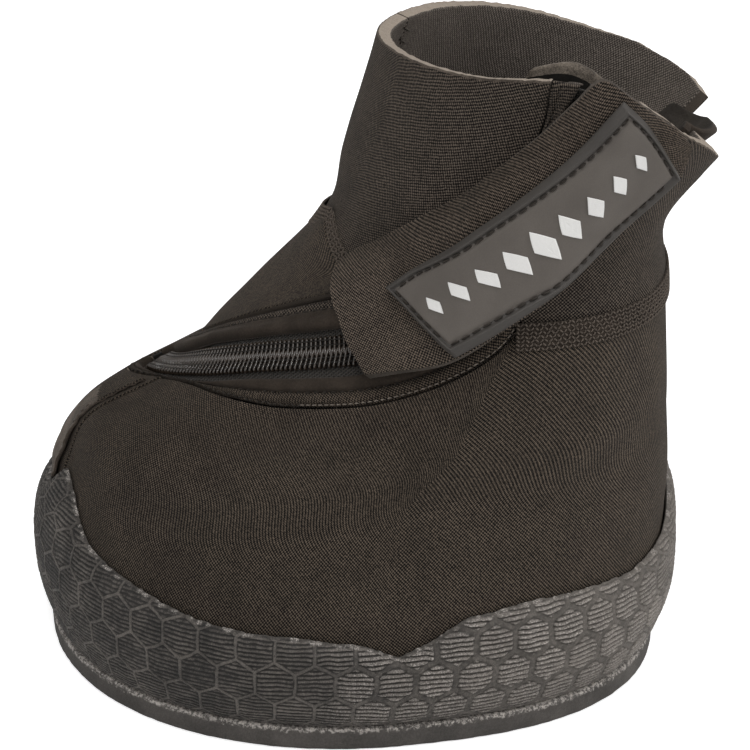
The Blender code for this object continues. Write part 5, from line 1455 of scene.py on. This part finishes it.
def build_rand():
    """The rand: a closed band whose outer skin carries the cells, and whose relief its rubber reads for painted shade
    in the recesses and painted glints.
    """
    foot = BOTTOM_STACK + TOUCH_GAP
    fine = np.linspace(-pi, pi, 2881)
    lengths = lengths_along(at_depth(fine, RAND_MIDDLE, RAND_RING_DEPTH), 0)
    columns = 1800
    angles = np.interp(np.linspace(0, lengths[-1], columns, endpoint=False), lengths, fine)
    total = lengths[-1] / MM
    anchor = np.interp(HEX_ANCHOR, fine, lengths) / MM
    across = (np.linspace(0, total, columns, endpoint=False) - anchor) * round(total / HEX_WIDTH) * HEX_WIDTH / total
    rows = np.linspace(0, 1, 150)
    depth = (RAND_GAP + RAND_BULGE * smooth(rows, *np.array(RAND_PROFILE).T))[:, None]
    rise = rand_top(angles) - foot + 0.0002 * noise(across / 2.1, 0, 30) + 0.00015 * noise(across / 0.8, 0, 31)
    heights = foot + rows[:, None] * rise
    up = lengths_along(at_depth(angles, heights, np.broadcast_to(depth, heights.shape)), 0) / MM
    column = np.argmin(np.abs(angles - HEX_ANCHOR))
    anchor_row = np.interp(RAND_MIDDLE, heights[:, column], up[:, column])
    relief, glint = rand_relief(np.broadcast_to(across, up.shape), up - anchor_row,
                                np.broadcast_to(angles, up.shape))
    below_top = up[-1:] - up
    fade = step(up, 0.0, 0.8) * step(below_top, 0.1, 0.8)
    skin = at_depth(angles, heights, depth + relief * fade - 0.0002 * (1 - step(below_top, 0, 0.6)))
    # Painted glints in spots along the top edge.
    edge_glints = step(noise(across / 1.1, up / 0.9, 33), 0.0, 0.5) * (1 - step(below_top, 0.5, 1.0))
    back_rows = np.array([1.0, 0.5, 0.0])[:, None]
    back = at_depth(angles, foot + back_rows * rise, np.full((3, columns), RAND_GAP))
    loops = np.concatenate([skin, back])
    shown = np.concatenate([relief * fade + 0.00022 * (1 - fade), np.full((3, columns), 0.0002)]).ravel() / MM
    glint = np.concatenate([np.maximum(glint * fade, edge_glints), np.zeros((3, columns))]).ravel()
    # The relief layer's height darkens the recesses with painted shade, and its second value marks where glints are
    # painted.
    made = mesh_object("rand_rubber", loops.reshape(-1, 3), ring_faces(len(loops), columns, True), [rand_rubber()],
                       relief=np.stack([shown, glint], -1))
    finish_piece(made, "boot", ["rand"])


def outline_ring(height, form_height, depth, columns=720):
    """A level ring at a height, beside the form's outline at another height."""
    ring = on_form(np.linspace(-pi, pi, columns, endpoint=False), form_height)
    ahead = np.roll(ring, -1, axis=0) - np.roll(ring, 1, axis=0)
    side = np.stack([ahead[:, 1], -ahead[:, 0]], -1)
    ring[:, :2] += side / np.linalg.norm(side, axis=1, keepdims=True) * np.broadcast_to(depth, columns)[:, None]
    ring[:, 2] = height
    return ring


def stacked(name, rings, materials):
    """A closed body from rings, its two ends drawn in to their middle."""
    count = len(rings[0])

    def towards(ring, share):
        middle = ring.mean(0)
        moved = middle + (ring - middle) * share
        moved[:, 2] = ring[:, 2]
        return moved

    inward = (0.8, 0.6, 0.4, 0.2, 0.05)
    loops = [towards(rings[0], share) for share in inward[::-1]] + rings + [towards(rings[-1], share) for share in inward]
    points = np.concatenate(loops)
    low = np.arange(count // 2 - 1)
    cap = np.stack([low, low + 1, count - 2 - low, count - 1 - low], -1)
    faces = np.concatenate([ring_faces(len(loops), count), cap[:, ::-1], cap + (len(loops) - 1) * count])
    return mesh_object(name, points, faces, materials, points[:, :2] / MM)


def block(size, middle):
    """A box as a helper object."""
    corners = np.array([[x, y, z] for x in (-0.5, 0.5) for y in (-0.5, 0.5) for z in (-0.5, 0.5)])
    faces = [[0, 1, 3, 2], [4, 6, 7, 5], [0, 4, 5, 1], [2, 3, 7, 6], [0, 2, 6, 4], [1, 5, 7, 3]]
    return mesh_object("tread_cutter", corners * size + middle, faces, [])


def cut_tread(made):
    """The tread's grooves, cut from the sole as in the part."""
    height = TREAD_DEPTH + TREAD_OVERRUN
    level = TREAD_DEPTH - height / 2
    half_length, half_width = SOLE_LENGTH / 2, SOLE_WIDTH / 2
    count = int((half_length - TREAD_BORDER) / TREAD_PITCH + 0.5)
    cutters = []
    for place in (np.arange(-count, count) + 0.5) * TREAD_PITCH:
        reach = half_width * (1 - (place / half_length) ** 2) ** 0.5 - TREAD_BORDER
        cutters.append(block((2 * reach, TREAD_GROOVE, height), (0, place, level)))
    for side in (-1, 1):
        reach = half_length - TREAD_BORDER - TREAD_PITCH / 2
        cutters.append(block((TREAD_GROOVE, 2 * reach, height), (side * TREAD_RIB_OFFSET, 0, level)))
    for cutter in cutters:
        change = made.modifiers.new("groove", "BOOLEAN")
        change.operation = "DIFFERENCE"
        change.object = cutter
        change.solver = "EXACT"
    graph = bpy.context.evaluated_depsgraph_get()
    made.data = bpy.data.meshes.new_from_object(made.evaluated_get(graph))
    made.data.set_sharp_from_angle(angle=radians(35))
    made.modifiers.clear()
    for cutter in cutters:
        bpy.data.objects.remove(cutter)


def build_sole():
    """The outsole: a rough lip, worn pale at its top edge and spotted there with painted highlights, over the cut
    tread.
    """
    length = np.linspace(-pi, pi, 720, endpoint=False) / (2 * pi) * 450
    rings = []
    for height, depth in SOLE_PROFILE:
        worn = step(height, 0.0038, 0.0054)
        rough = 0.00010 * noise(length / 1.7, height * 900, 40) + worn * (
            0.00020 * noise(length / 1.1, height * 1500, 41) - 0.0001)
        ring = outline_ring(height, 0, LIP_REACH + depth + rough)
        ring[:, 2] += np.minimum(worn * 0.00018 * noise(length / 1.3, 0, 42), 0)
        rings.append(ring)
    made = stacked("outsole_rubber", rings, [sole_rubber()])
    cut_tread(made)
    finish_piece(made, "boot", ["outsole"])


def build_footbed():
    foot = BOTTOM_STACK + TOUCH_GAP
    pad_foot = foot + BOARD_THICKNESS + TOUCH_GAP
    inset = -(NEOPRENE + PAD_CLEARANCE)
    rings = [outline_ring(pad_foot + height, foot, inset + depth, 240) for height, depth in PAD_PROFILE]
    made = stacked("insole_pad_cover", rings, [LINING, FOAM])
    finish_piece(made, "boot", ["insole_pad"])


def restyle(node, surface, bevel=None):
    """Gives a part's own solid a better material, and a soft edge where it has room."""
    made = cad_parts[node]
    for index in range(len(made.material_slots)):
        made.material_slots[index].material = surface
    if not made.material_slots:
        made.data.materials.append(surface)
    if bevel:
        change = made.modifiers.new("soft edges", "BEVEL")
        change.width = bevel
        change.segments = 3
        change.limit_method = "ANGLE"
        change.angle_limit = radians(35)


def build_stitches():
    """Rows of thread on the toe tape, the heel tape and the collar's upright seam."""

    def over_toe(angles, heights):
        return TAPE_OUTER + toe_puff(angles, heights)

    low_heel, top_heel = rand_top(pi) + 0.002, seam_height(pi) - BAND_WIDTH / 2 - 0.002
    near_heel, far_heel = (
        stitch_row(side_line(side * (HEEL_TAPE_HALF - 0.0014), low_heel, top_heel, heel_angle_at), 0.0028, 0.7,
                   depth=TAPE_OUTER + 0.0001) for side in (1, -1))
    high = np.interp(TOE_TURN + angle_at(TOE_TAPE_HALF, rand_top(0)), *SIDE_EDGE.T) - 0.003
    toe = side_line(TOE_TAPE_HALF - 0.0010, rand_top(0) + 0.012, high - 0.004)
    toe[:, 0] += TOE_TURN
    seam = upright(COLLAR_SEAM_TURN, seam_top(COLLAR_SEAM_TURN) + 0.003, rim_height(COLLAR_SEAM_TURN) - 0.001)
    tubes("tape_stitches", [
        far_heel,
        stitch_row(toe, 0.0016, 0.6, depth=over_toe, lift=0.00025),
        near_heel,
        stitch_row(seam, 0.0016, 0.9, 0.0022, 0.0002),
        stitch_row(seam, 0.0016, 0.9, 0.0022, -NEOPRENE - 0.0002),
    ], PALE_THREAD)


# ---------------------------------------------------------------- stage
FLOOR_HALF = 3.0
FLOOR_DROP = 0.0001
FLOOR_GLOW = 0.66
# What the studio gives the boot, and what the camera sees of it
WORLD_LEVELS = (0.32, 1.0)
# Name, place, size and power of each lamp, all aimed at the middle of the boot
LAMP_AIM = (0.0, 0.0, 0.07)
LAMPS = (
    ("overhead", (0.25, 0.0, 1.10), (0.9, 0.9), 4.3),
    ("glint", (0.62, -0.22, 0.95), (0.12, 0.12), 1.1),
    ("toe_side", (0.35, -0.95, 0.55), (0.5, 0.8), 1.6),
    ("heel_side", (0.30, 0.95, 0.60), (0.5, 0.8), 5.2),
    ("camera_side", (1.25, -0.10, 0.55), (0.8, 0.5), 1.6),
)
# The camera that was fitted to the photo: pixels, metres and turns round and above the boot
PHOTO_SIZE = 750
LENS_PIXELS = 3074.9
LENS_MIDDLE = (353.98, 335.6)
SENSOR = 36.0
CAMERA_AIM = (0, 0.0015, 0.075)
CAMERA_TURN = radians(80.02)
CAMERA_RISE = radians(23.75)
CAMERA_AWAY = 0.7538


def floor_material():
    """A pale floor that also glows towards the camera, so that it is as white as the photo's."""
    made = Shader("pale floor", 0.9, specular=0.1)
    made.put(made.out.inputs["Base Color"], (0.86, 0.86, 0.86))
    seen = made.node("LightPath", {}, "Is Camera Ray") * FLOOR_GLOW
    glow = made.node("Emission", {"Color": (1, 1, 1), "Strength": seen})
    total = made.node("AddShader", {0: Value(made, made.out.outputs[0]), 1: glow})
    made.put(made.tree.nodes["Material Output"].inputs["Surface"], total)
    return made.material


def build_stage():
    corners = np.array([[-1, -1], [1, -1], [1, 1], [-1, 1]]) * FLOOR_HALF
    points = np.column_stack([corners, np.full(4, -FLOOR_DROP)])
    mesh_object("floor", points, [[0, 1, 2, 3]], [floor_material()])
    world = bpy.data.worlds.new("studio")
    bpy.context.scene.world = world
    world.use_nodes = True
    tree = world.node_tree
    background = tree.nodes["Background"]
    background.inputs["Color"].default_value = (1, 1, 1, 1)
    rays = tree.nodes.new("ShaderNodeLightPath")
    level = tree.nodes.new("ShaderNodeMapRange")
    level.inputs["To Min"].default_value, level.inputs["To Max"].default_value = WORLD_LEVELS
    tree.links.new(rays.outputs["Is Camera Ray"], level.inputs["Value"])
    tree.links.new(level.outputs["Result"], background.inputs["Strength"])


def build_lights():
    for name, place, size, power in LAMPS:
        data = bpy.data.lights.new(name, "AREA")
        data.shape = "RECTANGLE"
        data.size, data.size_y = size
        data.energy = power
        made = bpy.data.objects.new(name, data)
        made.location = place
        made.rotation_euler = (Vector(place) - Vector(LAMP_AIM)).to_track_quat("Z", "Y").to_euler()
        bpy.context.scene.collection.objects.link(made)


def build_camera():
    data = bpy.data.cameras.new("camera")
    data.sensor_width = SENSOR
    data.lens = LENS_PIXELS / PHOTO_SIZE * SENSOR
    data.shift_x = (PHOTO_SIZE / 2 - LENS_MIDDLE[0]) / PHOTO_SIZE
    data.shift_y = (LENS_MIDDLE[1] - PHOTO_SIZE / 2) / PHOTO_SIZE
    data.clip_start, data.clip_end = 0.01, 20.0
    made = bpy.data.objects.new("camera", data)
    level = np.cos(CAMERA_RISE)
    back = np.array([np.sin(CAMERA_TURN) * level, -np.cos(CAMERA_TURN) * level, np.sin(CAMERA_RISE)])
    made.location = np.array(CAMERA_AIM) + back * CAMERA_AWAY
    made.rotation_euler = (pi / 2 - CAMERA_RISE, 0, CAMERA_TURN)
    bpy.context.scene.collection.objects.link(made)
    bpy.context.scene.camera = made


for build in (build_camera, build_cup_near, build_cup_far, build_collar, build_gusset, build_tapes, build_bands,
              build_facings, build_zip_tapes, build_coils, build_guard, build_strap, build_patches, build_badge,
              build_rand, build_sole, build_footbed, build_stitches):
    build()
for styled_node, styled_surface, styled_bevel in (
        ("lasting_board", BOARD, None), ("zip_bottom_stop", CORD, 0.0003), ("zip_top_stop_front", METAL, 0.0003),
        ("zip_top_stop_side", METAL, 0.0003), ("zip_slider", METAL, 0.0003), ("zip_puller", METAL, 0.00025)):
    restyle(styled_node, styled_surface, styled_bevel)
build_stage()
build_lights()
bpy.context.scene.view_settings.view_transform = "Standard"
